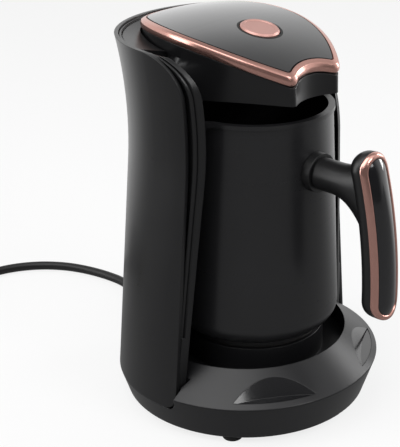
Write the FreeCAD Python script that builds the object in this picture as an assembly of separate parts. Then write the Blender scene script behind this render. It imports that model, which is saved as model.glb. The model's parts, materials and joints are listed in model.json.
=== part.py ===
import FreeCAD, Part
import math
import os

from FreeCAD import Vector

# Electric turkish coffee maker: a round base with a heated plate, a C-shaped tower, a head that
# reaches over the pot, and a pot with a long handle that pulls straight out to the front.
# Millimetres. Shapes are drawn about the centre of the base on the surface it stands on, with the
# front towards -Y, and are then moved along Y until the part's box is centred on the origin.

# Base
base_edge_radius = 80.0
base_foot_radius = 72.6
base_edge_height = 26.5
base_wall = 2.4
ring_radius = 60.0
ring_height = 41.75
well_depth = 11.0
foot_height = 4.0
foot_radius = 6.0
foot_circle_radius = 65.0
foot_angle = 36.5
foot_peg_radius = 2.5
cover_thickness = 2.2
cover_gap = 0.3
vent_count = 7
vent_width = 2.4
vent_pitch = 6.0
vent_length = 34.0

# Finger scoops in the cone of the base
scoop_angle = 34.0
scoop_half_angle = 18.3
scoop_outer_radius = 76.6
scoop_floor_depth = 5.8
scoop_wall_lean = 6.3
scoop_lip_height = 0.6

# Tower
tower_lower_edge = 18.0
tower_foot_radius = 77.2
tower_waist_radius = 66.3
tower_waist_height = 168.0
tower_flare_radius = 262.0
tower_rim_height = 221.0
shell_wall = 2.2
shell_gap = 0.25
wing_thickness = 6.6
bay_wall = 2.0
bay_back = 50.0
outer_edge_foot_y = -16.2
outer_edge_top_y = -17.6
low_outer_edge_top_y = -13.2
outer_shoulder_radius = 24.0
low_outer_shoulder_radius = 70.0
inner_edge_foot_y = -18.0
inner_edge_top_y = -21.0
inner_shoulder_radius = 22.0
low_inner_shoulder_radius = 67.0
bead_width = 1.2
bead_edge_step = 0.9
wing_foot_depth = 9.0
wing_foot_gap = 1.2
wing_slant = 0.35
ledge_slope = 0.27
ledge_drop = 0.9

# Head
head_underside = tower_rim_height - 29.6
head_wall = 2.2
crown_radius = 159.0
crown_top = tower_rim_height + 6.4
crown_y = 25.0
crown_side_sag = 2.0
crown_half_width = 40.0
flank_radius = 79.3
panel_half_width = 40.6
widest_y = 8.0
nose_corner_x = 17.2
nose_corner_radius = 2.0
notch_y = -43.3
rear_flank_radius = 72.0
rear_corner_x = 14.0
rear_corner_radius = 18.0
rear_arc_radius = 90.0
panel_thickness = 2.4
panel_gap = 0.35
trim_width = 4.0
trim_height = 5.3
trim_slope_width = 3.0
trim_slope_drop = 1.6
trim_ledge = 1.8
trim_ledge_thickness = 1.4
head_inset = 0.8
seat_gap = 0.2
jaw_corner_x = 17.0
jaw_corner_y = -49.2
jaw_corner_radius = 2.8
jaw_notch_y = -47.4
jaw_root_x = 57.2
jaw_root_y = 14.0
jaw_back_x = 30.0
jaw_back_y = 49.0
neck_height = tower_rim_height - 9.0

# Start button, tilted with the panel that it stands in
button_y = -10.9
button_radius = 11.0
button_gap = 0.5
button_proud = 0.9
button_bevel = 0.9
button_travel = 1.0
button_cap_height = 4.2
button_flange_radius = 12.6
button_flange_height = 1.2
button_flange_gap = 0.95
stem_radius = 3.0
stem_clearance = 0.08
guide_radius = 16.0
guide_bore_radius = 13.2
guide_depth = 7.6
guide_floor = 1.6
spring_radius = 5.2
spring_wire_radius = 0.35
spring_turns = 3.0

# Pot
pot_y = -6.8
pot_floor_height = 50.5
pot_radius = 50.2
pot_corner_radius = 11.0
pot_neck_radius = 44.3
pot_rim_radius = 45.3
pot_rim_height = head_underside - 10.4
pot_rim_depth = 2.4
pot_rim_width = 3.8
pot_wall = 1.2
spout_tip = 51.5
spout_tip_radius = 3.0
spout_half_width = 15.0
spout_depth = 13.0
spout_root = 41.0
rim_step = 1.0

# Handle, on a line that points straight forward from the pot
handle_height = pot_rim_height - 30.0
neck_radius = 9.0
collar_radius = 11.0
collar_length = 4.4
neck_start = 57.0
neck_flare_start = 66.0
grip_width = 21.8
grip_top = handle_height + 20.4
grip_bottom = handle_height - 72.0
grip_body_depth = 8.0
grip_trim_depth = 3.7
grip_front_top_y = -91.7
grip_front_middle_y = -100.6
grip_front_bottom_y = -107.0
grip_trim_width = 4.1
grip_trim_rounding = 2.2
inlay_recess = 0.5
inlay_gap = 0.15
handle_screw_radius = 2.0
handle_screw_head_radius = 3.8
handle_screw_clearance = 0.1
stud_radius = 5.0

# Heater
heater_radius = 38.0
heater_thickness = 6.2
heater_gap = 0.3
pedestal_radius = 41.5
pedestal_top = 46.5
pedestal_lip = 1.6
seal_height = 2.2
element_ring_radius = 26.0
element_tube_radius = 3.3
element_opening = 34.0
element_leg_length = 9.0
element_tab_length = 6.0
sensor_radius = 6.0
sensor_height = 7.0
clamp_width = 12.0
clamp_thickness = 1.2
clamp_screw_x = 33.5
clamp_screw_depth = 3.0
shield_radius = 38.0
shield_thickness = 0.8

# Boards, cord entry and small parts
board_thickness = 1.6
power_board_width = 54.0
power_board_depth = 40.0
power_board_height = 12.0
relay_size = (19.0, 15.5, 10.0)
terminal_size = (24.0, 12.0, 11.0)
control_board_width = 44.0
control_board_depth = 36.0
board_drop = 18.0
capacitor_radius = 4.0
capacitor_height = 9.0
driver_size = (8.0, 10.0, 6.0)
chip_size = (8.0, 8.0, 1.4)
socket_size = (12.0, 6.0, 4.0)
board_post_radius = 2.6
board_hole_radius = 1.2
board_hole_inset = 4.0
switch_size = 6.2
switch_height = 3.6
switch_plunger_radius = 1.7
buzzer_radius = 6.0
buzzer_height = 5.4
window_radius = 6.5
window_y = -18.0
screw_radius = 1.5
screw_head_radius = 3.0
screw_head_height = 2.0
screw_circle_radius = 54.0
screw_length = 10.0
boss_radius = 4.0
loom_hole_radius = 6.0

# Cord
cord_radius = 3.1
cord_exit_x = 24.0
cord_exit_height = 12.5
relief_root_radius = 6.6
relief_tip_radius = 4.4
relief_length = 24.0
relief_flange_radius = 8.0
relief_flange_thickness = 2.0
coil_center_x = -75.0
coil_center_y = 275.2
coil_mean_radius = 34.0
coil_turns = 3.0
coil_climb_turns = 0.5
coil_pitch = 6.9
coil_layer_step = 6.8
coil_outer_radius = coil_mean_radius + coil_pitch * coil_turns / 4
coil_tail = 37.0
tie_thickness = 0.9
tie_width = 12.0
plug_width = 35.0
plug_length = 32.0
plug_neck_length = 12.0
plug_pin_radius = 2.4
plug_pin_length = 19.0
plug_pin_spacing = 19.0

UP = Vector(0, 0, 1)
LEFT_TO_RIGHT = Vector(1, 0, 0)
FRONT_TO_BACK = Vector(0, 1, 0)


def write(node, shape, shift):
    """Check one node's solids, move them to the part's frame and write the node's file."""
    solids = shape.Solids
    if not solids or not all(solid.isValid() for solid in solids):
        raise ValueError(node + " has no valid solid")
    moved = solids[0] if len(solids) == 1 else Part.makeCompound(solids)
    moved.translate(shift)
    moved.exportStep("parts/" + node + ".step")
    print(node, len(solids), "solid(s),", round(shape.Volume, 1), "mm3")


# Outlines


def upright(u, v):
    """A point of a section that is turned about the upright axis: radius and height."""
    return Vector(u, 0, v)


def side(u, v):
    """A point of the side view: Y and height."""
    return Vector(0, u, v)


def plan(u, v):
    """A point seen from above."""
    return Vector(u, v, 0)


def front(u, v):
    """A point of the front view: X and height."""
    return Vector(u, 0, v)


def rounded_wire(corners, place):
    """A closed wire through corners (u, v) or (u, v, radius), each with its own tangent arc."""
    count = len(corners)
    ends = []
    for i in range(count):
        here = corners[i]
        before = corners[i - 1]
        after = corners[(i + 1) % count]
        radius = here[2] if len(here) > 2 else 0.0
        point = Vector(here[0], here[1], 0)
        to_before = (Vector(before[0], before[1], 0) - point).normalize()
        to_after = (Vector(after[0], after[1], 0) - point).normalize()
        if radius == 0.0:
            ends.append((point, None, point))
            continue
        half = to_before.getAngle(to_after) / 2.0
        reach = radius / math.tan(half)
        inward = (to_before + to_after).normalize()
        centre = point + inward * (radius / math.sin(half))
        ends.append((point + to_before * reach, centre - inward * radius, point + to_after * reach))
    edges = []
    for i in range(count):
        start, middle, end = ends[i]
        if middle is not None:
            arc = Part.Arc(place(start.x, start.y), place(middle.x, middle.y), place(end.x, end.y))
            edges.append(arc.toShape())
        following = ends[(i + 1) % count][0]
        if (following - end).Length > 1e-6:
            edges.append(Part.LineSegment(place(end.x, end.y), place(following.x, following.y)).toShape())
    return Part.Wire(edges)


def turned(corners, y=0.0):
    """A section of (radius, height) corners turned about an upright axis at (0, y)."""
    face = Part.Face(rounded_wire(corners, upright))
    solid = face.revolve(Vector(0, 0, 0), UP, 360)
    solid.translate(Vector(0, y, 0))
    return solid


def side_prism(corners, x_from, x_to, slant=0.0):
    """A side-view outline drawn out along X, with Y growing by slant for each mm."""
    face = Part.Face(rounded_wire(corners, side))
    face.translate(Vector(x_from, x_from * slant, 0))
    reach = x_to - x_from
    return face.extrude(Vector(reach, reach * slant, 0))


def cylinder(radius, height, x, y, z, direction=UP):
    return Part.makeCylinder(radius, height, Vector(x, y, z), direction)


def ring(outer, inner, height, x, y, z, direction=UP):
    return cylinder(outer, height, x, y, z, direction).cut(cylinder(inner, height, x, y, z, direction))


def block(width, depth, height, x, y, z):
    """A box centred on x and y that stands on z."""
    return Part.makeBox(width, depth, height, Vector(x - width / 2, y - depth / 2, z))


def polar(radius, degrees):
    angle = math.radians(degrees)
    return radius * math.cos(angle), radius * math.sin(angle)


def screw(x, y, z, length, direction=UP):
    """A pan-head screw whose head starts at z and whose shank runs along direction."""
    head = cylinder(screw_head_radius, screw_head_height, x, y, z, direction)
    end = Vector(x, y, z) + direction * screw_head_height
    shank = Part.makeCylinder(screw_radius, length, end, direction)
    return head.fuse(shank)


# Tower surfaces

flare_centre_radius = tower_waist_radius + tower_flare_radius


def flare_tangent():
    """Where the straight cone of the tower runs into the arc that flares to its rim."""
    across = flare_centre_radius - tower_foot_radius
    rise = tower_waist_height - tower_lower_edge
    distance = math.hypot(across, rise)
    angle = math.atan2(rise, across) - math.acos(tower_flare_radius / distance)
    radius = flare_centre_radius - tower_flare_radius * math.cos(angle)
    height = tower_waist_height - tower_flare_radius * math.sin(angle)
    return radius, height


tangent_radius, tangent_height = flare_tangent()


def tower_radius(height):
    """Radius of the tower's outer surface at a height."""
    if height < tangent_height:
        slope = (tangent_radius - tower_foot_radius) / (tangent_height - tower_lower_edge)
        return tower_foot_radius + slope * (height - tower_lower_edge)
    rise = height - tower_waist_height
    return flare_centre_radius - math.sqrt(tower_flare_radius ** 2 - rise ** 2)


def tower_solid(inset, bottom, top):
    """Everything inside the tower's outer surface moved inwards by inset."""
    corners = [upright(0, bottom), upright(tower_radius(bottom) - inset, bottom)]
    edges = [Part.LineSegment(corners[0], corners[1]).toShape()]
    high = upright(tower_radius(top) - inset, top)
    if top > tangent_height:
        tangent = upright(tangent_radius - inset, tangent_height)
        middle_height = (tangent_height + top) / 2
        middle = upright(tower_radius(middle_height) - inset, middle_height)
        edges.append(Part.LineSegment(corners[1], tangent).toShape())
        edges.append(Part.Arc(tangent, middle, high).toShape())
    else:
        edges.append(Part.LineSegment(corners[1], high).toShape())
    edges.append(Part.LineSegment(high, upright(0, top)).toShape())
    edges.append(Part.LineSegment(upright(0, top), corners[0]).toShape())
    return Part.Face(Part.Wire(edges)).revolve(Vector(0, 0, 0), UP, 360)


def wing_outline(foot_y, top_y, shoulder, top, bottom, corner, grow=0.0):
    """Side view of the tower: an upright front edge, a round shoulder and a level top."""
    far = 110.0
    return [
        (far, bottom - grow),
        (foot_y - grow, bottom - grow, corner + grow),
        (top_y - grow, top + grow, shoulder + grow),
        (far, top + grow),
    ]


def wings(outlines, slant):
    """The side-view outlines of the right and the left half of the tower, drawn out sideways."""
    reach = base_edge_radius + 10.0
    right = side_prism(outlines[0], 0.0, reach, slant)
    left = side_prism(outlines[1], 0.0, -reach, -slant)
    return right.fuse(left)


def outer_wing(grow):
    """Side views of the rear cover: the right half's shoulder is lower and rounder than the left's."""
    return [wing_outline(outer_edge_foot_y, top_y, shoulder, tower_rim_height, tower_lower_edge, 8.0, grow)
            for top_y, shoulder in ((low_outer_edge_top_y, low_outer_shoulder_radius),
                                    (outer_edge_top_y, outer_shoulder_radius))]


wing_reference_x = tower_waist_radius - shell_wall
inner_top = tower_rim_height - ledge_drop
bay_top_y = jaw_root_y + 3.0


def inner_wing(grow, advance=0.0):
    """Side views of the edge of the wing band, which lies further forward than the rear cover's."""
    shift = wing_reference_x * wing_slant + advance
    return [wing_outline(inner_edge_foot_y - shift, inner_edge_top_y - shift, shoulder,
                         inner_top, tower_lower_edge, 8.0, grow)
            for shoulder in (low_inner_shoulder_radius, inner_shoulder_radius)]


def bay_solid(grow):
    """The open space for the pot between the wings: full height in front, below the head behind."""
    inset = wing_thickness - grow
    tall = tower_solid(inset, tower_lower_edge, tower_rim_height + 0.5)
    low_part = Part.makeBox(200, 200 + bay_back + grow, head_underside - tower_lower_edge,
                            Vector(-100, -200, tower_lower_edge))
    front_part = Part.makeBox(200, 200 + bay_top_y + grow, 60, Vector(-100, -200, head_underside - 1))
    return tall.common(low_part.fuse(front_part))


# Head surfaces


def crown_solid(drop):
    """Everything under the crowned top surface, lowered by drop."""
    half = 75.0
    radius = crown_radius - drop
    axis_height = crown_top - crown_radius
    sag = crown_side_sag * (half / crown_half_width) ** 2
    top = axis_height + radius
    foot = top - 70.0
    arc = Part.Arc(Vector(half, 0, top - sag), Vector(0, 0, top), Vector(-half, 0, top - sag))
    edges = [
        Part.LineSegment(Vector(-half, 0, foot), Vector(half, 0, foot)).toShape(),
        Part.LineSegment(Vector(half, 0, foot), Vector(half, 0, top - sag)).toShape(),
        arc.toShape(),
        Part.LineSegment(Vector(-half, 0, top - sag), Vector(-half, 0, foot)).toShape(),
    ]
    face = Part.Face(Part.Wire(edges))
    face.translate(Vector(0, crown_y, 0))
    axis = Vector(0, crown_y, axis_height)
    face.rotate(axis, LEFT_TO_RIGHT, -38)
    return face.revolve(axis, LEFT_TO_RIGHT, 76)


def crown_height(y):
    """Height of the crown on the centre line."""
    rise = math.sqrt(crown_radius ** 2 - (y - crown_y) ** 2)
    return crown_top - crown_radius + rise


def arc_about(centre, radius, start_direction, end_direction, z):
    """An arc of a circle seen from above, the short way between two directions."""
    middle = (start_direction + end_direction).normalize()
    points = []
    for direction in (start_direction, middle, end_direction):
        point = centre + direction * radius
        points.append(Vector(point.x, point.y, z))
    return Part.Arc(points[0], points[1], points[2]).toShape()


def mirrored(vector):
    return Vector(-vector.x, vector.y, vector.z)


def closed_outline(half_arcs, z):
    """A closed wire from the arcs of the right half, notch to rear, each (centre, radius, from, to)."""
    edges = []
    for centre, radius, start, end in half_arcs[1:-1]:
        edges.append(arc_about(centre, radius, start, end, z))
    rear = half_arcs[-1]
    edges.append(arc_about(rear[0], rear[1], rear[2], mirrored(rear[2]), z))
    for centre, radius, start, end in reversed(half_arcs[1:-1]):
        edges.append(arc_about(mirrored(centre), radius, mirrored(end), mirrored(start), z))
    notch = half_arcs[0]
    edges.append(arc_about(notch[0], notch[1], mirrored(notch[2]), notch[2], z))
    return Part.Wire(edges)


def notch_arc_radius(corner, corner_radius, bottom_y):
    """Radius of the hollow arc that meets both nose corners and is deepest at bottom_y."""
    step = corner.y - bottom_y
    return (corner.x ** 2 + step ** 2 - corner_radius ** 2) / (2 * (corner_radius - step))


def panel_arcs(offset):
    """The top panel's outline: nose notch, nose corner, flank, rear flank, rear corner and rear."""
    flank = Vector(panel_half_width - flank_radius, widest_y, 0)
    corner_run = flank_radius - nose_corner_radius
    corner_y = widest_y - math.sqrt(corner_run ** 2 - (nose_corner_x - flank.x) ** 2)
    corner = Vector(nose_corner_x, corner_y, 0)
    notch_radius = notch_arc_radius(corner, nose_corner_radius, notch_y)
    notch = Vector(0, notch_y - notch_radius, 0)
    rear_flank = Vector(panel_half_width - rear_flank_radius, widest_y, 0)
    rear_run = rear_flank_radius - rear_corner_radius
    rear_corner_y = widest_y + math.sqrt(rear_run ** 2 - (rear_corner_x - rear_flank.x) ** 2)
    rear_corner = Vector(rear_corner_x, rear_corner_y, 0)
    rear_drop = math.sqrt((rear_arc_radius - rear_corner_radius) ** 2 - rear_corner_x ** 2)
    rear = Vector(0, rear_corner_y - rear_drop, 0)
    to_notch = (notch - corner).normalize()
    out_flank = (corner - flank).normalize()
    out_rear_corner = (rear_corner - rear_flank).normalize()
    out_rear = (rear_corner - rear).normalize()
    return [
        (notch, notch_radius - offset, to_notch * -1, to_notch * -1),
        (corner, nose_corner_radius + offset, to_notch, out_flank),
        (flank, flank_radius + offset, out_flank, LEFT_TO_RIGHT),
        (rear_flank, rear_flank_radius + offset, LEFT_TO_RIGHT, out_rear_corner),
        (rear_corner, rear_corner_radius + offset, out_rear_corner, out_rear),
        (rear, rear_arc_radius + offset, out_rear, out_rear),
    ]


def panel_wire(offset, z):
    return closed_outline(panel_arcs(offset), z)


def panel_prism(offset, bottom, top):
    return Part.Face(panel_wire(offset, bottom)).extrude(Vector(0, 0, top - bottom))


def arc_through(start, end, bulge, z):
    """An arc from start to end that stands out by bulge to the right of its way."""
    way = end - start
    outward = Vector(way.y, -way.x, 0).normalize()
    middle = (start + end) * 0.5 + outward * bulge
    points = [Vector(p.x, p.y, z) for p in (start, middle, end)]
    return Part.Arc(points[0], points[1], points[2]).toShape()


def jaw_wire(offset, z):
    """The head's outline at its underside, as many arcs as the panel's so that the two loft."""
    corner = Vector(jaw_corner_x, jaw_corner_y, 0)
    notch_radius = notch_arc_radius(corner, jaw_corner_radius, jaw_notch_y)
    notch = Vector(0, jaw_notch_y - notch_radius, 0)
    to_notch = (notch - corner).normalize()
    root = Vector(jaw_root_x + offset, jaw_root_y, 0)
    along = (root - corner).normalize()
    side_out = Vector(-along.y, along.x, 0) * -1
    radius = jaw_corner_radius + offset
    flank_start = corner + side_out * radius
    back_corner = Vector(jaw_back_x, jaw_back_y - 3 + offset, 0)
    back_end = Vector(jaw_back_x - 4, jaw_back_y + offset, 0)
    halves = []
    for sign in (1, -1):
        def here(v):
            return Vector(sign * v.x, v.y, 0)
        nose = arc_about(here(corner), radius, here(to_notch), here(side_out), z)
        flank = arc_through(here(flank_start), here(root), -1.2 * sign, z)
        rear_flank = arc_through(here(root), here(back_corner), -8.0 * sign, z)
        rear_corner = arc_through(here(back_corner), here(back_end), -0.8 * sign, z)
        halves.append([nose, flank, rear_flank, rear_corner])
    rear_points = [Vector(back_end.x, back_end.y, z), Vector(0, back_end.y + 0.6, z),
                   Vector(-back_end.x, back_end.y, z)]
    rear = Part.Arc(rear_points[0], rear_points[1], rear_points[2]).toShape()
    out = to_notch * -1
    front_notch = arc_about(notch, notch_radius - offset, mirrored(out), out, z)
    return Part.Wire(halves[0] + [rear] + halves[1][::-1] + [front_notch])


def head_solid(offset, bottom):
    """The head's body: its underside lofted to the panel's outline, then straight up to the trim."""
    upper = trim_width - head_inset + offset
    loft = Part.makeLoft([jaw_wire(offset, bottom), panel_wire(upper, neck_height)], True, True)
    top = panel_prism(upper, neck_height, crown_top + 5)
    return loft.fuse(top)


# Base


def cone_height(radius):
    """Height of the cone of the base at a radius."""
    return base_edge_height + (base_edge_radius - radius) * (
        ring_height - base_edge_height) / (base_edge_radius - ring_radius)


def scoop(sign, grow):
    """One finger scoop: a leaning hollow wall, level floor and lip, whose wall ends at the lip's tips."""
    lip_level = max(cone_height(scoop_outer_radius), base_edge_height + 1.0)
    floor = lip_level - scoop_lip_height
    foot_radius = scoop_outer_radius - scoop_floor_depth
    apex_radius = foot_radius - scoop_wall_lean
    lean = scoop_wall_lean / (cone_height(apex_radius) - floor)
    at_lip = foot_radius - lean * scoop_lip_height
    tip_y = scoop_outer_radius * math.cos(math.radians(scoop_half_angle))
    centre = (scoop_outer_radius ** 2 - at_lip ** 2) / (2 * (tip_y - at_lip))
    low_radius = centre - foot_radius + grow
    height = ring_height - floor + grow + 4
    foot = floor - grow
    tool = Part.makeCone(low_radius, low_radius + lean * height, height, Vector(0, -centre, foot), UP)
    tool = tool.common(cylinder(scoop_outer_radius + grow, height, 0, 0, foot))
    tool.rotate(Vector(0, 0, 0), UP, sign * scoop_angle)
    return tool


def well(grow):
    """The round well about the heater, cut flat at the back where the tower stands."""
    floor = ring_height - well_depth - grow
    body = cylinder(ring_radius + grow, ring_height, 0, 0, floor)
    return body.common(Part.makeBox(200, 100 + bay_back + grow, 100, Vector(-100, -100, floor)))


def wing_foot(grow):
    """The foot of each wing band, which stands in front of the base's cone."""
    inset = shell_wall + shell_gap
    sleeve = tower_solid(inset - grow, tower_lower_edge - grow, ring_height + 20)
    sleeve = sleeve.cut(tower_solid(wing_thickness + grow, tower_lower_edge - 1 - grow, ring_height + 21))
    back_y = outer_edge_foot_y + wing_foot_depth + grow
    sleeve = sleeve.common(Part.makeBox(200, 100 + back_y, 100, Vector(-100, -100, 0)))
    return sleeve.common(wings(inner_wing(grow), wing_slant))


def skirt_line(height):
    """Radius of the base's outer skirt at a height."""
    slope = (base_edge_radius - base_foot_radius) / (base_edge_height - foot_height)
    return base_foot_radius + slope * (height - foot_height)


def boss_places():
    return [polar(screw_circle_radius, angle) for angle in (45, 135, 225, 315)]


def foot_places():
    return [polar(foot_circle_radius, a) for a in (foot_angle, 180 - foot_angle,
                                                   180 + foot_angle, -foot_angle)]


def base_housing():
    body = turned([(0, foot_height), (base_foot_radius, foot_height, 1.5),
                   (base_edge_radius, base_edge_height, 0.9), (ring_radius, ring_height, 0.8),
                   (0, ring_height)])
    skirt_angle = math.atan2(base_edge_radius - base_foot_radius, base_edge_height - foot_height)
    across = base_wall / math.cos(skirt_angle)
    cone_angle = math.atan2(ring_height - base_edge_height, base_edge_radius - ring_radius)
    down = base_wall / math.cos(cone_angle)
    cone_slope = math.tan(cone_angle)
    skirt_slope = math.tan(skirt_angle)
    # where the inner faces of the skirt and the cone meet
    rise = (cone_slope * across - down) / (1 + cone_slope * skirt_slope)
    corner = (skirt_line(base_edge_height + rise) - across, base_edge_height + rise)
    hollow = turned([(0, foot_height - 1), (skirt_line(foot_height - 1) - across, foot_height - 1), corner,
                     (ring_radius, ring_height - down), (0, ring_height - down)])
    hollow = hollow.cut(well(base_wall))
    for sign in (1, -1):
        hollow = hollow.cut(scoop(sign, base_wall))
    rear_pocket = tower_solid(-20, tower_lower_edge - 0.2, ring_height + 20)
    rear_pocket = rear_pocket.cut(tower_solid(shell_wall + shell_gap, tower_lower_edge - 1, ring_height + 21))
    rear_pocket = rear_pocket.common(wings(outer_wing(wing_foot_gap), 0.0))
    inner = tower_solid(shell_wall + shell_gap + base_wall, foot_height + 2, ring_height - down)
    rear_depth = 100 + outer_edge_foot_y - wing_foot_gap - base_wall
    hollow = hollow.common(inner.fuse(Part.makeBox(200, rear_depth, 100,
                                                   Vector(-100, -100, 0))).fuse(
        cylinder(base_edge_radius, tower_lower_edge - wing_foot_gap - base_wall, 0, 0, 0)))
    hollow = hollow.cut(wing_foot(wing_foot_gap + base_wall))
    body = body.cut(hollow).cut(well(0)).cut(rear_pocket).cut(wing_foot(wing_foot_gap))
    for sign in (1, -1):
        body = body.cut(scoop(sign, 0))
    floor = ring_height - well_depth
    pedestal = ring(pedestal_radius, heater_radius + 2.4, pedestal_top - floor + base_wall,
                    0, pot_y, floor - base_wall)
    lip_foot = pedestal_top - pedestal_lip
    lip = ring(pedestal_radius, heater_radius + shell_gap, pedestal_lip, 0, pot_y, lip_foot)
    body = body.cut(cylinder(heater_radius + 2.4, 60, 0, pot_y, floor - base_wall - 1))
    body = body.fuse([pedestal, lip])
    top_of_boss = floor - base_wall
    for x, y in boss_places():
        boss = cylinder(boss_radius, top_of_boss - foot_height - cover_thickness - cover_gap + 0.5,
                        x, y, foot_height + cover_thickness + cover_gap)
        body = body.fuse(boss)
        body = body.cut(cylinder(screw_radius + 0.05, 14, x, y, foot_height))
    body = body.cut(cylinder(loom_hole_radius, 20, 0, loom_y(), ring_height - 12))
    return body.cut(relief_hole(relief_root_radius + 0.1))


def relief_hole(radius):
    """Room for the strain relief's root through the back of the machine."""
    return cylinder(radius, 30, cord_exit_x, base_foot_radius - 15, cord_exit_height, FRONT_TO_BACK)


def relief_flange_y():
    """Y of the inner face of the wall that the strain relief's flange lies against."""
    low_wall = skirt_line(cord_exit_height - relief_flange_radius) - base_wall - 0.3
    return math.sqrt(low_wall ** 2 - (cord_exit_x + relief_flange_radius) ** 2) - shell_gap


def loom_y():
    """Where the wires climb, between the bay's back wall and the rear cover."""
    return bay_back + bay_wall + loom_hole_radius + 1.0


def base_bottom_cover():
    radius = base_foot_radius - base_wall - 0.6
    cover = cylinder(radius, cover_thickness, 0, 0, foot_height)
    for i in range(vent_count):
        x = (i - (vent_count - 1) / 2) * vent_pitch
        slot = block(vent_width, vent_length, cover_thickness, x, -6, foot_height)
        cover = cover.cut(slot)
    for x, y in boss_places():
        cover = cover.cut(cylinder(screw_radius + 0.3, cover_thickness, x, y, foot_height))
        cover = cover.cut(cylinder(screw_head_radius + 0.3, 1.0, x, y, foot_height))
    for x, y in foot_places():
        cover = cover.cut(cylinder(foot_peg_radius, cover_thickness, x, y, foot_height))
    cover = cover.cut(cylinder(relief_flange_radius + 0.3, 30, cord_exit_x, relief_flange_y() - 4,
                               cord_exit_height, FRONT_TO_BACK))
    for x in (-1, 1):
        for y in (-1, 1):
            post = cylinder(board_post_radius, power_board_height - foot_height - cover_thickness - 0.2,
                            x * (power_board_width / 2 - board_hole_inset),
                            pot_y + y * (power_board_depth / 2 - board_hole_inset),
                            foot_height + cover_thickness)
            cover = cover.fuse(post)
    return cover


def rubber_feet():
    feet = []
    for x, y in foot_places():
        foot = turned([(0, 0), (foot_radius, 0, 1.0), (foot_radius - 0.6, foot_height),
                       (foot_peg_radius - 0.1, foot_height), (foot_peg_radius - 0.1, foot_height + 1.8),
                       (0, foot_height + 1.8)])
        foot.translate(Vector(x, y, 0))
        feet.append(foot)
    return Part.makeCompound(feet)


def base_screws():
    return Part.makeCompound([screw(x, y, foot_height - 1.0, screw_length) for x, y in boss_places()])


# Heater


heater_top = pot_floor_height - heater_gap
heater_foot = heater_top - heater_thickness


def heater_plate():
    plate = turned([(0, heater_foot), (heater_radius - 3, heater_foot),
                    (heater_radius - 3, pedestal_top + 0.9),
                    (heater_radius + 1.6, pedestal_top + 0.9), (heater_radius + 1.6, heater_top, 0.8),
                    (0, heater_top)], pot_y)
    for sign in (-1, 1):
        plate = plate.cut(cylinder(screw_radius + 0.02, clamp_screw_depth + 0.3, sign * clamp_screw_x,
                                   pot_y, heater_foot))
    return plate.cut(cylinder(sensor_radius + 0.2, 2.0, 0, pot_y, heater_foot))


def heater_seal():
    return ring(heater_radius - 0.1, heater_radius - 2.8, seal_height, 0, pot_y,
                pedestal_top + 0.7 - seal_height).fuse(
        ring(heater_radius + 1.6, heater_radius - 2.8, 0.6, 0, pot_y, pedestal_top + 0.1))


def heating_element():
    """A bent tube under the plate, open at the front where its two ends turn down."""
    z = heater_foot - element_tube_radius - 0.3
    start = element_opening / 2
    profile = Part.Face(Part.Wire(Part.makeCircle(
        element_tube_radius, Vector(element_ring_radius, 0, z), FRONT_TO_BACK)))
    bow = profile.revolve(Vector(0, 0, 0), UP, 360 - element_opening)
    bow.rotate(Vector(0, 0, 0), UP, start - 90)
    bow.translate(Vector(0, pot_y, 0))
    ends = []
    for sign in (-1, 1):
        x, y = polar(element_ring_radius, -90 + sign * start)
        ball = Part.makeSphere(element_tube_radius + 0.2, Vector(x, y + pot_y, z))
        leg = cylinder(element_tube_radius, element_leg_length, x, y + pot_y, z - element_leg_length)
        tab_foot = z - element_leg_length - element_tab_length + 0.5
        tab = block(1.0, 5.0, element_tab_length, x, y + pot_y, tab_foot)
        ends.append(ball.fuse(leg).fuse(tab))
    return bow.fuse(ends)


def temperature_sensor():
    cap = cylinder(sensor_radius, sensor_height, 0, pot_y, heater_foot + 1.9 - sensor_height)
    flange = cylinder(sensor_radius + 2.4, 1.0, 0, pot_y, heater_foot - 1.2)
    terminals = block(1.0, 4.0, 5.0, 3.0, pot_y, heater_foot - sensor_height - 3.0).fuse(
        block(1.0, 4.0, 5.0, -3.0, pot_y, heater_foot - sensor_height - 3.0))
    return cap.fuse(flange).fuse(terminals)


clamp_level = ring_height - well_depth - base_wall - clamp_thickness - 0.2
shield_level = clamp_level - shield_thickness - 0.1


def heater_clamp():
    """A pressed strap across the pedestal's foot whose screws pull the plate down on its seal."""
    strap = block(2 * (pedestal_radius + 5.0), clamp_width, clamp_thickness, 0, pot_y, clamp_level)
    strap = strap.cut(cylinder(sensor_radius - 1.4, 10, 0, pot_y, clamp_level - 2))
    for sign in (-1, 1):
        strap = strap.cut(cylinder(screw_radius + 0.3, 6, sign * clamp_screw_x, pot_y, clamp_level - 2))
    return strap


def heater_screws():
    level = shield_level - screw_head_height - 0.1
    length = heater_foot + clamp_screw_depth - level - screw_head_height
    return Part.makeCompound([screw(sign * clamp_screw_x, pot_y, level, length) for sign in (-1, 1)])


def heat_shield():
    plate = cylinder(shield_radius, shield_thickness, 0, pot_y, shield_level)
    for sign in (-1, 1):
        x, y = polar(element_ring_radius, -90 + sign * element_opening / 2)
        plate = plate.cut(cylinder(element_tube_radius + 1.5, 4, x, y + pot_y, shield_level - 1))
        plate = plate.cut(cylinder(screw_radius + 0.3, 4, sign * clamp_screw_x, pot_y, shield_level - 1))
    return plate


# Boards


def power_board():
    z = power_board_height
    board = block(power_board_width, power_board_depth, board_thickness, 0, pot_y, z)
    for x in (-1, 1):
        for y in (-1, 1):
            board = board.cut(cylinder(board_hole_radius, 5, x * (power_board_width / 2 - board_hole_inset),
                                       pot_y + y * (power_board_depth / 2 - board_hole_inset), z - 1))
    capacitor = cylinder(capacitor_radius, capacitor_height, -power_board_width / 3, pot_y - 4,
                         z + board_thickness)
    width, depth, height = driver_size
    driver = block(width, depth, height, -5, pot_y - 8, z + board_thickness)
    return board.fuse([capacitor, driver])


def relay():
    width, depth, height = relay_size
    return block(width, depth, height, 14.0, pot_y - 6, power_board_height + board_thickness + 0.1)


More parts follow.
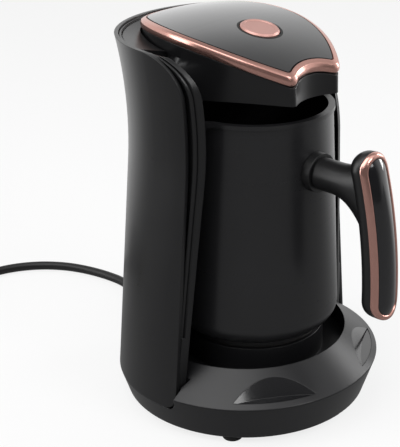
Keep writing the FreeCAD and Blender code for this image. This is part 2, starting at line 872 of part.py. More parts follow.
def terminal_block():
    width, depth, height = terminal_size
    body = block(width, depth, height, 0, pot_y + 13, power_board_height + board_thickness + 0.1)
    for i in (-1, 0, 1):
        hole_foot = power_board_height + board_thickness + height - 4
        body = body.cut(cylinder(2.0, 5.0, i * 7.0, pot_y + 13, hole_foot))
    return body


# Tower


def rear_cover():
    outer = tower_solid(0, tower_lower_edge, tower_rim_height)
    inner = tower_solid(shell_wall, tower_lower_edge - 1, tower_rim_height + 1)
    shell = outer.cut(inner).common(wings(outer_wing(0), 0.0))
    return shell.cut(relief_hole(relief_root_radius + shell_gap))


def column_front():
    """Bay wall, wing bands and top ledge of the tower in one moulding."""
    inset = shell_wall + shell_gap
    top_radius = tower_radius(inner_top) - inset
    core = tower_solid(inset, tower_lower_edge, inner_top)
    bead_inner = top_radius - bead_width
    funnel_low = 20.0
    funnel = turned([(0, inner_top + 5), (bead_inner, inner_top + 5), (bead_inner, inner_top - 0.7),
                     (funnel_low, inner_top - 0.7 - ledge_slope * (bead_inner - funnel_low)),
                     (0, inner_top - 0.7 - ledge_slope * (bead_inner - funnel_low))])
    core = core.cut(funnel)
    bead = core.common(wings(inner_wing(0.0, -bead_edge_step), wing_slant))
    bead = bead.cut(tower_solid(inset + bead_width, tower_lower_edge, inner_top + 1))
    band = core.common(wings(inner_wing(0.0), wing_slant))
    band = band.common(tower_solid(inset + bead_width + 0.5, tower_lower_edge, inner_top))
    root = core.common(wings(inner_wing(-1.6, 0.0), wing_slant))
    core = band.fuse([bead, root])
    room = tower_solid(-5, tower_lower_edge - 5, inner_top - bay_wall - 1.2)
    funnel_under = funnel.copy()
    funnel_under.translate(Vector(0, 0, -bay_wall))
    room = room.cut(funnel_under)
    room = room.common(wings(inner_wing(-bay_wall), wing_slant))
    room = room.cut(bay_solid(bay_wall))
    core = core.cut(bay_solid(0)).cut(room)
    core = core.cut(head_solid(shell_gap, head_underside - 0.3))
    core = core.cut(panel_prism(trim_width + shell_gap, neck_height, crown_top + 5))
    base_room = turned([(0, 0), (base_foot_radius + 20, 0), (base_edge_radius, base_edge_height + 0.2),
                        (ring_radius, ring_height + 0.2), (0, ring_height + 0.2)])
    return core.cut(base_room).fuse(wing_foot(0))


# Head


def head_housing():
    outer = head_solid(0, head_underside).common(crown_solid(trim_height + seat_gap))
    inner = head_solid(-head_wall, head_underside - 5).common(crown_solid(-5))
    floor = Part.makeBox(200, 200, 30, Vector(-100, -100, head_underside + head_wall))
    floor = floor.fuse(Part.makeBox(200, 200, 60, Vector(-100, -100, head_underside + head_wall + 10)))
    housing = outer.cut(inner.common(floor))
    slot = Part.makeBox(44, 14, 30, Vector(-22, jaw_back_y - 12, head_underside - 5))
    housing = housing.cut(slot)
    window = cylinder(window_radius + 0.1, 10, 0, window_y, head_underside - 3)
    return housing.cut(window)


def head_trim():
    outer = panel_prism(trim_width, head_underside, crown_top + 5)
    seat = crown_solid(panel_thickness + seat_gap)
    bore = panel_prism(panel_gap, head_underside, crown_top + 5).cut(seat)
    through = panel_prism(-trim_ledge, head_underside, crown_top + 5)
    body = outer.cut(bore).cut(through).common(crown_solid(0)).cut(crown_solid(trim_height))
    body = body.cut(panel_prism(-0.01, head_underside, crown_top + 5).common(
        crown_solid(panel_thickness + seat_gap + trim_ledge_thickness)))
    step = panel_prism(trim_width + 1, head_underside, crown_top + 5)
    step = step.cut(panel_prism(trim_width - trim_slope_width, head_underside, crown_top + 5))
    step = step.cut(crown_solid(trim_slope_drop / 2))
    return body.cut(step)


def top_panel():
    plate = panel_prism(0, head_underside, crown_top + 5).common(crown_solid(0))
    plate = plate.cut(crown_solid(panel_thickness))
    return plate.cut(button_tool(button_radius + button_gap, -10, 10))


# Button group, drawn about an upright axis and then tilted on to the panel


def panel_tilt():
    """Angle of the panel at the button, in degrees."""
    return math.degrees(math.asin((crown_y - button_y) / crown_radius))


def on_panel(shape):
    """Move a shape drawn about the upright axis, with the panel's surface at height 0."""
    placed = shape.copy()
    placed.rotate(Vector(0, 0, 0), LEFT_TO_RIGHT, panel_tilt())
    placed.translate(Vector(0, button_y, crown_height(button_y)))
    return placed


def button_tool(radius, low, high):
    return on_panel(cylinder(radius, high - low, 0, 0, low))


def start_button():
    top = button_proud
    under = top - button_cap_height
    flange_top = -panel_thickness - button_flange_gap
    stem_end = switch_top() + button_travel + 0.05
    return on_panel(turned([
        (0, top - 0.3), (button_radius - button_bevel - 1.6, top - 0.3),
        (button_radius - button_bevel - 1.2, top),
        (button_radius - button_bevel, top), (button_radius, top - button_bevel),
        (button_radius, flange_top), (button_flange_radius, flange_top),
        (button_flange_radius, flange_top - button_flange_height),
        (stem_radius + 4.5, flange_top - button_flange_height), (stem_radius + 4.5, under),
        (stem_radius, under), (stem_radius, stem_end), (0, stem_end)]))


def switch_top():
    """Height of the switch's plunger, measured from the panel's surface."""
    return switch_height - board_drop + 0.02


def guide_floor_top():
    return -panel_thickness - guide_depth


def button_guide():
    """A cup under the panel that guides the stem, with posts down to the board."""
    floor_top = guide_floor_top()
    cup = turned([
        (guide_radius, 0), (guide_radius, floor_top - guide_floor),
        (stem_radius + stem_clearance, floor_top - guide_floor), (stem_radius + stem_clearance, floor_top),
        (guide_bore_radius, floor_top), (guide_bore_radius, 0)])
    foot = 0.2 - board_drop
    length = floor_top - guide_floor - foot
    posts = [cylinder(2.0, length + 0.5, x, y, foot) for x, y in ((-10, 10), (10, 10), (-10, -10))]
    guide = on_panel(cup.fuse(posts))
    return guide.common(crown_solid(panel_thickness + seat_gap))


def button_spring():
    """A coil spring of arcs between the cup's floor and the button."""
    low = guide_floor_top() + spring_wire_radius + 0.05
    high = button_proud - button_cap_height - spring_wire_radius - 0.05
    radius = spring_radius + 0.6
    steps = int(spring_turns * 8)
    points = []
    ways = []
    for i in range(steps + 1):
        angle = 2 * math.pi * spring_turns * i / steps
        height = low + (high - low) * i / steps
        points.append(Vector(radius * math.cos(angle), radius * math.sin(angle), height))
        climb = (high - low) / (2 * math.pi * spring_turns)
        ways.append(Vector(-radius * math.sin(angle), radius * math.cos(angle), climb).normalize())
    edges = []
    for i in range(steps):
        edges += biarc(points[i], ways[i], points[i + 1], ways[i + 1])
    return on_panel(tube(Part.Wire(edges), spring_wire_radius))


def control_board():
    z = -board_drop - board_thickness
    board = block(control_board_width, control_board_depth, board_thickness, 0, 0, z)
    chip = block(*chip_size, -control_board_width / 3, 0, z + board_thickness)
    socket = block(*socket_size, control_board_width / 3, 2, z + board_thickness)
    return on_panel(board.fuse([chip, socket]))


def tact_switch():
    z = -board_drop + 0.02
    body = block(switch_size, switch_size, switch_height - 1.0, 0, 0, z)
    return on_panel(body.fuse(cylinder(switch_plunger_radius, switch_height, 0, 0, z)))


def buzzer():
    body = ring(buzzer_radius, 1.2, buzzer_height, 13, -9, -board_drop + 0.02)
    base = cylinder(buzzer_radius, 2.0, 13, -9, -board_drop + 0.02)
    return on_panel(body.fuse(base))


def sensor_window():
    foot = head_underside + 0.2
    inside = head_underside + head_wall
    flange = window_radius + 1.4
    return turned([(0, foot), (window_radius, foot), (window_radius, inside), (flange, inside + 0.1),
                   (flange, inside + 1.0), (0, inside + 1.0)], window_y)


# Pot


def pot_wall_radius(height):
    """Radius of the pot's tapered wall at a height."""
    slope = (pot_radius - pot_neck_radius) / (pot_rim_height - pot_floor_height)
    return pot_radius - slope * (height - pot_floor_height)


def pot_shape(inset, top):
    """The pot's body up to a height with the wedge of its pouring lip, moved inwards by inset."""
    floor = pot_floor_height + max(inset, 0.0)
    body = turned([(0, floor), (pot_wall_radius(floor) - inset, floor, pot_corner_radius - inset),
                   (pot_wall_radius(top) - inset, top), (0, top)], pot_y)
    return body.fuse(spout_wedge(inset, top))


def spout_outline(tip, half, inset, z):
    """The pouring lip's arrow shape seen from above; its sides lean by the same angle everywhere."""
    lean = math.atan2(spout_half_width, spout_tip - spout_root)
    root = tip - half / math.tan(lean)
    move = inset / math.sin(lean)
    corners = [(-root, half), (-tip, 0.0, spout_tip_radius), (-root, -half), (-root + 10, 0.0)]
    wire = rounded_wire(corners, plan)
    wire.translate(Vector(move, pot_y, z))
    return wire


def spout_wedge(inset, top):
    """The lip's lower part, which grows out of the wall towards the rim."""
    foot = pot_rim_height - spout_depth
    low = spout_outline(pot_wall_radius(foot) - 1.5, spout_half_width * 0.4, inset, foot)
    high = spout_outline(spout_tip - rim_step, spout_half_width, inset, top)
    return Part.makeLoft([low, high], True, True)


def rim_prism(inset, low, high):
    """The rim's outline, a circle with the lip's arrow shape, drawn up from low to high."""
    disc = cylinder(pot_rim_radius - inset, high - low, 0, pot_y, low)
    lip = Part.Face(spout_outline(spout_tip, spout_half_width, inset, low)).extrude(Vector(0, 0, high - low))
    return disc.fuse(lip)


def pot_body():
    rim_foot = pot_rim_height - pot_rim_depth
    outer = pot_shape(0, rim_foot + 0.6).fuse(rim_prism(0, rim_foot, pot_rim_height))
    inner = pot_shape(pot_wall, rim_foot + 0.9)
    mouth = rim_prism(pot_rim_width, rim_foot + 0.4, pot_rim_height + 1)
    return outer.cut(inner.fuse(mouth))


def forward(radius, length, start, height=handle_height):
    """A cylinder on the handle's line, from Y = -start forwards."""
    return Part.makeCylinder(radius, length, Vector(0, -start, height), Vector(0, -1, 0))


def pot_stud():
    """The threaded stud that is welded to the pot for the handle."""
    body = forward(stud_radius, neck_start + 6.0 - 46.0, 46.0)
    body = body.cut(pot_shape(-0.02, pot_rim_height))
    bore = forward(handle_screw_radius + 0.02, 12.0, neck_start - 2.0)
    return body.cut(bore)


def pot_collar():
    body = forward(collar_radius, collar_length + 10, neck_start - collar_length - 6)
    end = forward(collar_radius + 5, 20, neck_start - 0.2)
    body = body.cut(end).cut(pot_shape(-0.15, pot_rim_height))
    return body.cut(forward(stud_radius + 0.2, 40, neck_start - 25))


# Handle


def grip_arc(shift):
    """The bowed front of the grip in side view, moved back by shift."""
    top = side(grip_front_top_y + shift, grip_top)
    middle = side(grip_front_middle_y + shift, (grip_top + grip_bottom) / 2 + 1.0)
    bottom = side(grip_front_bottom_y + shift, grip_bottom)
    return top, middle, bottom


def grip_slab(front_shift, back_shift):
    """A bowed slab as wide as needed, between two depths behind the grip's front."""
    top, middle, bottom = grip_arc(front_shift)
    back_top, back_middle, back_bottom = grip_arc(back_shift)
    reach = 8.0
    lift = Vector(0, 0, reach)
    edges = [
        Part.Arc(top, middle, bottom).toShape(),
        Part.LineSegment(bottom, bottom - lift).toShape(),
        Part.LineSegment(bottom - lift, back_bottom - lift).toShape(),
        Part.LineSegment(back_bottom - lift, back_bottom).toShape(),
        Part.Arc(back_bottom, back_middle, back_top).toShape(),
        Part.LineSegment(back_top, back_top + lift).toShape(),
        Part.LineSegment(back_top + lift, top + lift).toShape(),
        Part.LineSegment(top + lift, top).toShape(),
    ]
    face = Part.Face(Part.Wire(edges))
    face.translate(Vector(-grip_width, 0, 0))
    return face.extrude(Vector(2 * grip_width, 0, 0))


def stadium(inset):
    """The grip's front view: a tall shape with round ends, drawn out along Y."""
    half = grip_width / 2 - inset
    low = grip_bottom + grip_width / 2
    high = grip_top - grip_width / 2
    wire = Part.Wire([
        Part.Arc(front(-half, low), front(0, low - half), front(half, low)).toShape(),
        Part.LineSegment(front(half, low), front(half, high)).toShape(),
        Part.Arc(front(half, high), front(0, high + half), front(-half, high)).toShape(),
        Part.LineSegment(front(-half, high), front(-half, low)).toShape(),
    ])
    face = Part.Face(wire)
    face.translate(Vector(0, -130, 0))
    return face.extrude(Vector(0, 80, 0))


def handle_neck():
    """The round neck that flares into the back of the grip."""
    sections = []
    grip_back = -grip_line_y(handle_height) - grip_body_depth - grip_trim_depth
    stations = ((neck_start, neck_radius, neck_radius, handle_height),
                (neck_flare_start, neck_radius, neck_radius, handle_height),
                (neck_flare_start + 9, neck_radius + 0.4, neck_radius + 2.2, handle_height + 0.3),
                (grip_back - 1, grip_width / 2 - 2.2, neck_radius + 8.0, handle_height + 0.8),
                (grip_back + 5, grip_width / 2 - 1.2, neck_radius + 10.0, handle_height + 1.0))
    for reach, half_width, half_height, height in stations:
        centre = Vector(0, -reach, height)
        tall = Vector(0, -reach, height + max(half_height, half_width + 0.001))
        sections.append(Part.Wire(Part.Ellipse(tall, centre + Vector(half_width, 0, 0), centre).toShape()))
    return Part.makeLoft(sections, True, False)


def handle_body():
    grip = stadium(0).common(grip_slab(grip_trim_depth + 0.05, grip_trim_depth + grip_body_depth))
    grip = soften_back(grip)
    body = grip.fuse(handle_neck()).cut(grip_slab(-20.0, grip_trim_depth + 0.05))
    seat = grip_seat_y()
    body = body.cut(forward(handle_screw_radius + handle_screw_clearance, 60, neck_start - 5))
    body = body.cut(forward(handle_screw_head_radius + 0.3, 30, seat))
    return body.cut(forward(stud_radius + 0.15, 7.0, neck_start - 0.5))


def grip_seat_y():
    """Distance forward of the seat for the handle screw's head."""
    return -(grip_front_middle_y) - 18.0


def soften_back(grip):
    """Round the long edges at the back of the grip."""
    back = []
    for edge in grip.Edges:
        centre = edge.CenterOfMass
        front_y = grip_line_y(centre.z)
        if centre.y > front_y + grip_trim_depth + grip_body_depth * 0.8:
            back.append(edge)
    return grip.makeFillet(4.2, back)


def grip_line_y(height):
    """Y of the grip's front surface at a height."""
    top, middle, bottom = grip_arc(0)
    arc = Part.Arc(top, middle, bottom)
    share = (grip_top - height) / (grip_top - grip_bottom)
    share = min(max(share, 0.0), 1.0)
    first, last = arc.FirstParameter, arc.LastParameter
    return arc.value(first + (last - first) * share).y


def handle_trim():
    band = stadium(0).common(grip_slab(0, grip_trim_depth - 0.05))
    ridge = [edge for edge in band.Edges if edge.CenterOfMass.y < grip_line_y(edge.CenterOfMass.z) + 0.8]
    return band.makeFillet(grip_trim_rounding, ridge).cut(stadium(grip_trim_width))


def handle_inlay():
    plate = stadium(grip_trim_width + inlay_gap)
    return plate.common(grip_slab(inlay_recess - 1.0, grip_trim_depth - 0.1))


def handle_screw():
    seat = grip_seat_y()
    head = forward(handle_screw_head_radius, 2.6, seat + 0.05)
    shank = forward(handle_screw_radius, seat - neck_start + 2.0, neck_start - 1.5)
    return head.fuse(shank)


# Cord


def arc_radius(before, corner, after):
    """Radius of the arc at a route's point: 0.45 of the shorter run over the tangent of half the turn."""
    run_in = corner - before
    run_out = after - corner
    turn = run_in.getAngle(run_out)
    return 0.45 * min(run_in.Length, run_out.Length) / math.tan(turn / 2)


def route_wire(points):
    """Straight runs joined by tangent arcs."""
    edges = []
    here = points[0]
    radii = []
    for i in range(1, len(points) - 1):
        before, corner, after = points[i - 1], points[i], points[i + 1]
        reach = 0.45 * min((corner - before).Length, (after - corner).Length)
        start = corner + (before - corner).normalize() * reach
        end = corner + (after - corner).normalize() * reach
        radius = arc_radius(before, corner, after)
        radii.append(round(radius, 1))
        inward = ((start + end) * 0.5 - corner).normalize()
        half = (corner - before).getAngle(after - corner) / 2
        middle = corner + inward * (radius / math.cos(half) - radius)
        edges.append(Part.LineSegment(here, start).toShape())
        edges.append(Part.Arc(start, middle, end).toShape())
        here = end
    edges.append(Part.LineSegment(here, points[-1]).toShape())
    return Part.Wire(edges), radii


def tube(wire, radius):
    """A round tube along a wire."""
    first = wire.Edges[0]
    start = first.valueAt(first.FirstParameter)
    tangent = first.tangentAt(first.FirstParameter)
    section = Part.Wire(Part.makeCircle(radius, start, tangent))
    return wire.makePipeShell([section], True, False)


relief_tip_y = skirt_line(cord_exit_height) + relief_length - 4.0
cord_floor = cord_radius + 0.05
coil_floor = cord_floor + tie_thickness
coil_front_y = coil_center_y - coil_outer_radius
coil_lead = 2 * cord_radius

cord_route = [
    Vector(cord_exit_x, relief_tip_y, cord_exit_height),
    Vector(cord_exit_x, relief_tip_y + 14, cord_exit_height),
    Vector(cord_exit_x + 2.5, relief_tip_y + 29, cord_floor + 3.5),
    Vector(cord_exit_x + 7.5, relief_tip_y + 43, cord_floor),
    Vector(35.5, 155, cord_floor),
    Vector(34.5, 171, cord_floor),
    Vector(31, 188, cord_floor),
    Vector(24, 206, cord_floor),
    Vector(11, 222.5, cord_floor),
    Vector(-7, 234, cord_floor),
    Vector(-28, 238.4, cord_floor),
    Vector(-49, coil_front_y, coil_floor),
    Vector(coil_center_x + coil_lead, coil_front_y, coil_floor),
]


def power_cord():
    wire, radii = route_wire(cord_route)
    print("cord radii", radii, "length", round(wire.Length, 1))
    cord = tube(wire, cord_radius)
    section = math.pi * cord_radius ** 2
    print("cord volume over section times length", round(cord.Volume / (section * wire.Length), 4))
    return cord


def strain_relief():
    """A tapered sleeve about the cord where it leaves the base, with a flange inside the wall."""
    root_y = skirt_line(cord_exit_height) - 4.0 - base_wall
    sleeve = Part.makeCone(relief_root_radius, relief_tip_radius, relief_tip_y - root_y,
                           Vector(cord_exit_x, root_y, cord_exit_height), FRONT_TO_BACK)
    flange_y = relief_flange_y() - relief_flange_thickness
    flange = cylinder(relief_flange_radius, relief_flange_thickness, cord_exit_x, flange_y,
                      cord_exit_height, FRONT_TO_BACK)
    root = cylinder(relief_root_radius, root_y - flange_y, cord_exit_x, flange_y,
                    cord_exit_height, FRONT_TO_BACK)
    return sleeve.fuse([flange, root])


def coil_point(turn):
    """A point of the coil's centre line: in on the lower layer, up, and out on the upper one."""
    away = abs(coil_turns / 2 - turn)
    radius = coil_outer_radius - coil_pitch * (coil_turns / 2 - away)
    rise = min(max((turn - coil_turns / 2) / coil_climb_turns + 0.5, 0.0), 1.0)
    height = coil_floor + coil_layer_step * rise * rise * (3 - 2 * rise)
    angle = -2 * math.pi * (turn + 0.25)
    return Vector(coil_center_x + radius * math.cos(angle), coil_center_y + radius * math.sin(angle), height)


def coil_direction(turn):
    """The way the centre line runs at a turn; the two ends run straight along X."""
    if turn in (0, coil_turns):
        return Vector(-1, 0, 0)
    if turn == coil_turns / 2:
        before, after = coil_point(turn - 0.01), coil_point(turn + 0.01)
        return (after - before).normalize()
    step = 1e-4
    return (coil_point(turn + step) - coil_point(turn - step)).normalize()


def tangent_arc(start, direction, end):
    """The arc that leaves start along direction and ends at end."""
    chord = end - start
    across = chord - direction * chord.dot(direction)
    if across.Length < 1e-7:
        return Part.LineSegment(start, end).toShape()
    across.normalize()
    radius = chord.dot(chord) / (2 * chord.dot(across))
    centre = start + across * radius
    middle = centre + ((start + end) * 0.5 - centre).normalize() * radius
    return Part.Arc(start, middle, end).toShape()


def biarc(start, start_direction, end, end_direction):
    """Two arcs that join two points with given directions, each with an equal tangent length."""
    chord = end - start
    total = start_direction + end_direction
    spread = 2 * (1 - start_direction.dot(end_direction))
    across = chord.dot(total)
    reach = (math.sqrt(across ** 2 + spread * chord.dot(chord)) - across) / spread
    join = ((start + start_direction * reach) + (end - end_direction * reach)) * 0.5
    return [tangent_arc(start, start_direction, join), reversed_arc(end, end_direction, join)]


def reversed_arc(end, direction, join):
    """The arc that leaves join and arrives at end along direction."""
    arc = tangent_arc(end, direction * -1, join)
    points = [arc.valueAt(arc.FirstParameter + (arc.LastParameter - arc.FirstParameter) * share)
              for share in (0.0, 0.5, 1.0)]
    points.sort(key=lambda point: (point - join).Length)
    return Part.Arc(points[0], points[1], points[2]).toShape()


def cord_coil():
    """The put-away length of the cord, as one tube in two layers of turns."""
    steps = int(round(coil_turns * 4))
    turns = [i * coil_turns / steps for i in range(steps + 1)]
    edges = [Part.LineSegment(coil_point(0) + Vector(coil_lead, 0, 0), coil_point(0)).toShape()]
    for before, after in zip(turns[:-1], turns[1:]):
        edges += biarc(coil_point(before), coil_direction(before), coil_point(after), coil_direction(after))
    last = coil_point(coil_turns)
    edges.append(Part.LineSegment(last, last - Vector(coil_tail, 0, 0)).toShape())
    wire = Part.Wire(edges)
    coil = tube(wire, cord_radius)
    print("coil length", round(wire.Length, 1), "volume over section times length",
          round(coil.Volume / (math.pi * cord_radius ** 2 * wire.Length), 4),
          "least gap", round(least_gap(edges), 2))
    return coil


def least_gap(edges):
    """Least distance between stretches of the coil that aren't neighbours, less the cord's width."""
    points = []
    for edge in edges:
        length = edge.Length
        points += [edge.valueAt(edge.getParameterByLength(length * i / 24)) for i in range(24)]
    apart = []
    for i in range(len(points)):
        walked = 0.0
        for j in range(i + 1, len(points)):
            walked += (points[j] - points[j - 1]).Length
            if walked > 8 * cord_radius:
                apart.append((points[i] - points[j]).Length)
    return min(apart) - 2 * cord_radius


def cord_tie():
    """A band about the coil's turns at its far side."""
    inner_radius = coil_outer_radius - coil_pitch * coil_turns / 2
    inner_y = coil_center_y + math.sqrt(inner_radius ** 2 - (tie_width / 2) ** 2) - cord_radius - 0.3
    outer_y = coil_center_y + coil_outer_radius + cord_radius + 0.3
    top = coil_floor + coil_layer_step + cord_radius + 0.15
    low = coil_floor - cord_radius - 0.15
    wall = tie_thickness - 0.2
    inner = [(inner_y, low, 2.0), (outer_y, low, 2.0), (outer_y, top, 2.0), (inner_y, top, 2.0)]
    outer = [(inner_y - wall, low - wall, 2.5), (outer_y + wall, low - wall, 2.5),
             (outer_y + wall, top + wall, 2.5), (inner_y - wall, top + wall, 2.5)]
    x = coil_center_x
    return side_prism(outer, x - tie_width / 2, x + tie_width / 2).cut(
        side_prism(inner, x - tie_width / 2 - 1, x + tie_width / 2 + 1))


def plug_height():
    return coil_floor + coil_layer_step


def plug_start_x():
    return coil_center_x - coil_tail


def plug_body():
    """A flat two-pin plug that lies beside the coil, with a tapered neck about the cord."""
    height = plug_height()
    half = plug_width / 2
    neck_end = plug_start_x() - plug_neck_length
    end = neck_end - plug_length
    outline = rounded_wire([(neck_end, coil_front_y - 6, 2.0), (neck_end - 12, coil_front_y - half, 8.0),
                            (end, coil_front_y - half, 3.0), (end, coil_front_y + half, 3.0),
                            (neck_end - 12, coil_front_y + half, 8.0), (neck_end, coil_front_y + 6, 2.0)],
                           plan)
    body = Part.Face(outline).extrude(Vector(0, 0, 2 * height))
    body = body.makeFillet(3.0, [edge for edge in body.Edges if edge.BoundBox.ZLength < 0.1])
    neck = Part.makeCone(relief_tip_radius, 5.4, plug_neck_length + 1,
                         Vector(plug_start_x(), coil_front_y, height), Vector(-1, 0, 0))
    return body.fuse(neck)


def plug_pins():
    """Two round pins with a rounded tip each."""
    x = plug_start_x() - plug_neck_length - plug_length
    pins = []
    for sign in (-1, 1):
        y = coil_front_y + sign * plug_pin_spacing / 2
        pin = cylinder(plug_pin_radius, plug_pin_length, x, y, plug_height(), Vector(-1, 0, 0))
        tip = [edge for edge in pin.Edges if edge.BoundBox.XMax < x - plug_pin_length + 0.1
               and edge.BoundBox.YLength > 1]
        pins.append(pin.makeFillet(1.2, tip))
    return Part.makeCompound(pins)


def main():
    os.makedirs("parts", exist_ok=True)
    parts = {}
    for make in makers:
        parts[make.__name__] = make()
    front_y = parts["handle_trim"].optimalBoundingBox().YMin
    rear_y = parts["strain_relief"].optimalBoundingBox().YMax
    shift = Vector(0, -(front_y + rear_y) / 2, 0)
    print("frame shift", shift)
    for node, shape in parts.items():
        write(node, shape, shift)


makers = (
    base_housing, base_bottom_cover, rubber_feet, base_screws,
    heater_plate, heater_seal, heating_element, temperature_sensor, heater_clamp, heater_screws, heat_shield,
    power_board, relay, terminal_block,
    rear_cover, column_front, head_housing, head_trim, top_panel, sensor_window,
    start_button, button_guide, button_spring, control_board, tact_switch, buzzer,
    pot_body, pot_stud, pot_collar, handle_body, handle_trim, handle_inlay, handle_screw,
    strain_relief, power_cord, cord_coil, cord_tie, plug_body, plug_pins,
)

main()
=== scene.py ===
"""Visual model of an electric turkish coffee maker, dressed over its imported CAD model.

Lengths are in metres, +Z is up and the front of the machine looks towards -Y. Every piece stands
where the CAD model has it.
"""

import json
import logging
import math
from dataclasses import dataclass, field
from enum import Enum
from typing import Any, Dict, Optional, Tuple, Union

import bmesh
import bpy
import numpy as np
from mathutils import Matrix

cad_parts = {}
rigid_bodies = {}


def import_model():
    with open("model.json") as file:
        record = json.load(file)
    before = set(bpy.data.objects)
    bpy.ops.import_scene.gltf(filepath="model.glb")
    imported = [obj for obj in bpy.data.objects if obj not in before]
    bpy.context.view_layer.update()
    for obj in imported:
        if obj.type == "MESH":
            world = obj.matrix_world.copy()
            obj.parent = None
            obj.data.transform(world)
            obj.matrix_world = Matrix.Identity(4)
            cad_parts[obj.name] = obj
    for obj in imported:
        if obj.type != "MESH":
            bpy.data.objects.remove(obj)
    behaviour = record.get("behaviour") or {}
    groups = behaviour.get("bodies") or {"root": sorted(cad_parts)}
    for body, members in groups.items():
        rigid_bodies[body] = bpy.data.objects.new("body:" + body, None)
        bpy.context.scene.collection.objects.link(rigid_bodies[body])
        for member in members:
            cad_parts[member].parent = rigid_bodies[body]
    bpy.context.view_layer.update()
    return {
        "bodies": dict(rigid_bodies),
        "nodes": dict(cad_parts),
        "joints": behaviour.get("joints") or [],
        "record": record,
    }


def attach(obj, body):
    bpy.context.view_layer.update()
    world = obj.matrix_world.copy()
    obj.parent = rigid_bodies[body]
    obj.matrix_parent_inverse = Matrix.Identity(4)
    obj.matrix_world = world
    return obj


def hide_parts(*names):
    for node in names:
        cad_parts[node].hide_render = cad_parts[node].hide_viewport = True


log = logging.getLogger("coffee_maker")

Colour = Tuple[float, float, float]
Point = Tuple[float, float, float]
Key = Union[str, int]
Material = bpy.types.Material
Piece = bpy.types.Object

MM = 0.001

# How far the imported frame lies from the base's centre, along Y
FRAME_SHIFT = 5.679 * MM

# The level way from the machine to the camera, along X and Y
TOWARD_CAMERA = (-0.73, -0.68)

# Points nearer than this are one: in a new surface, and in a copy of a CAD mesh
SURFACE_MERGE = 1e-6
SKIN_MERGE = 2e-6

# Shared by the finishes: sizes of the noise's blobs, height of the bumps, radius of soft edges
GRAIN_SIZE = 0.0007
CLOUD_SIZE = 0.03
FINE_BUMP = 0.00005
SOFT_EDGE = 0.6 * MM

WHITE = (1.0, 1.0, 1.0)


class Body(str, Enum):
    """The CAD bodies that pieces ride on."""

    MACHINE = "machine"
    BUTTON = "button"
    POT = "pot"


# Shader maths


class Socket:
    """A node's output, with the operators that shader formulas use."""

    def __init__(self, graph: "Graph", link: Any) -> None:
        """Keep the graph for new nodes and the output itself.

        Args:
            graph: the graph.
            link: the output in Blender, or None for a node that has none.
        """
        self.graph = graph
        self.link = link

    def _math(self, operation: str, *values: Any) -> "Socket":
        """Add a Math node.

        Args:
            operation: the node's operation.
            values: what its inputs take.

        Returns:
            The node's result.
        """
        return self.graph.node("Math", {"operation": operation}, dict(enumerate(values)))

    def __add__(self, other: Any) -> "Socket":
        """Add."""
        return self._math("ADD", self, other)

    def __radd__(self, other: Any) -> "Socket":
        """Add, with the number first."""
        return self._math("ADD", other, self)

    def __sub__(self, other: Any) -> "Socket":
        """Subtract."""
        return self._math("SUBTRACT", self, other)

    def __rsub__(self, other: Any) -> "Socket":
        """Subtract this from a number."""
        return self._math("SUBTRACT", other, self)

    def __mul__(self, other: Any) -> "Socket":
        """Multiply."""
        return self._math("MULTIPLY", self, other)

    def clamped(self) -> "Socket":
        """Limit to the span from 0 to 1."""
        return self.graph.node("Clamp", {}, {"Value": self})

    def root(self) -> "Socket":
        """Take the square root."""
        return self._math("SQRT", self)

    def step(self, low: float, high: float) -> "Socket":
        """Rise smoothly from 0 at low to 1 at high.

        Args:
            low: where the rise starts.
            high: where it ends.

        Returns:
            The eased value.
        """
        inputs = {"Value": self, "From Min": low, "From Max": high}
        return self.graph.node("MapRange", {"interpolation_type": "SMOOTHSTEP"}, inputs)


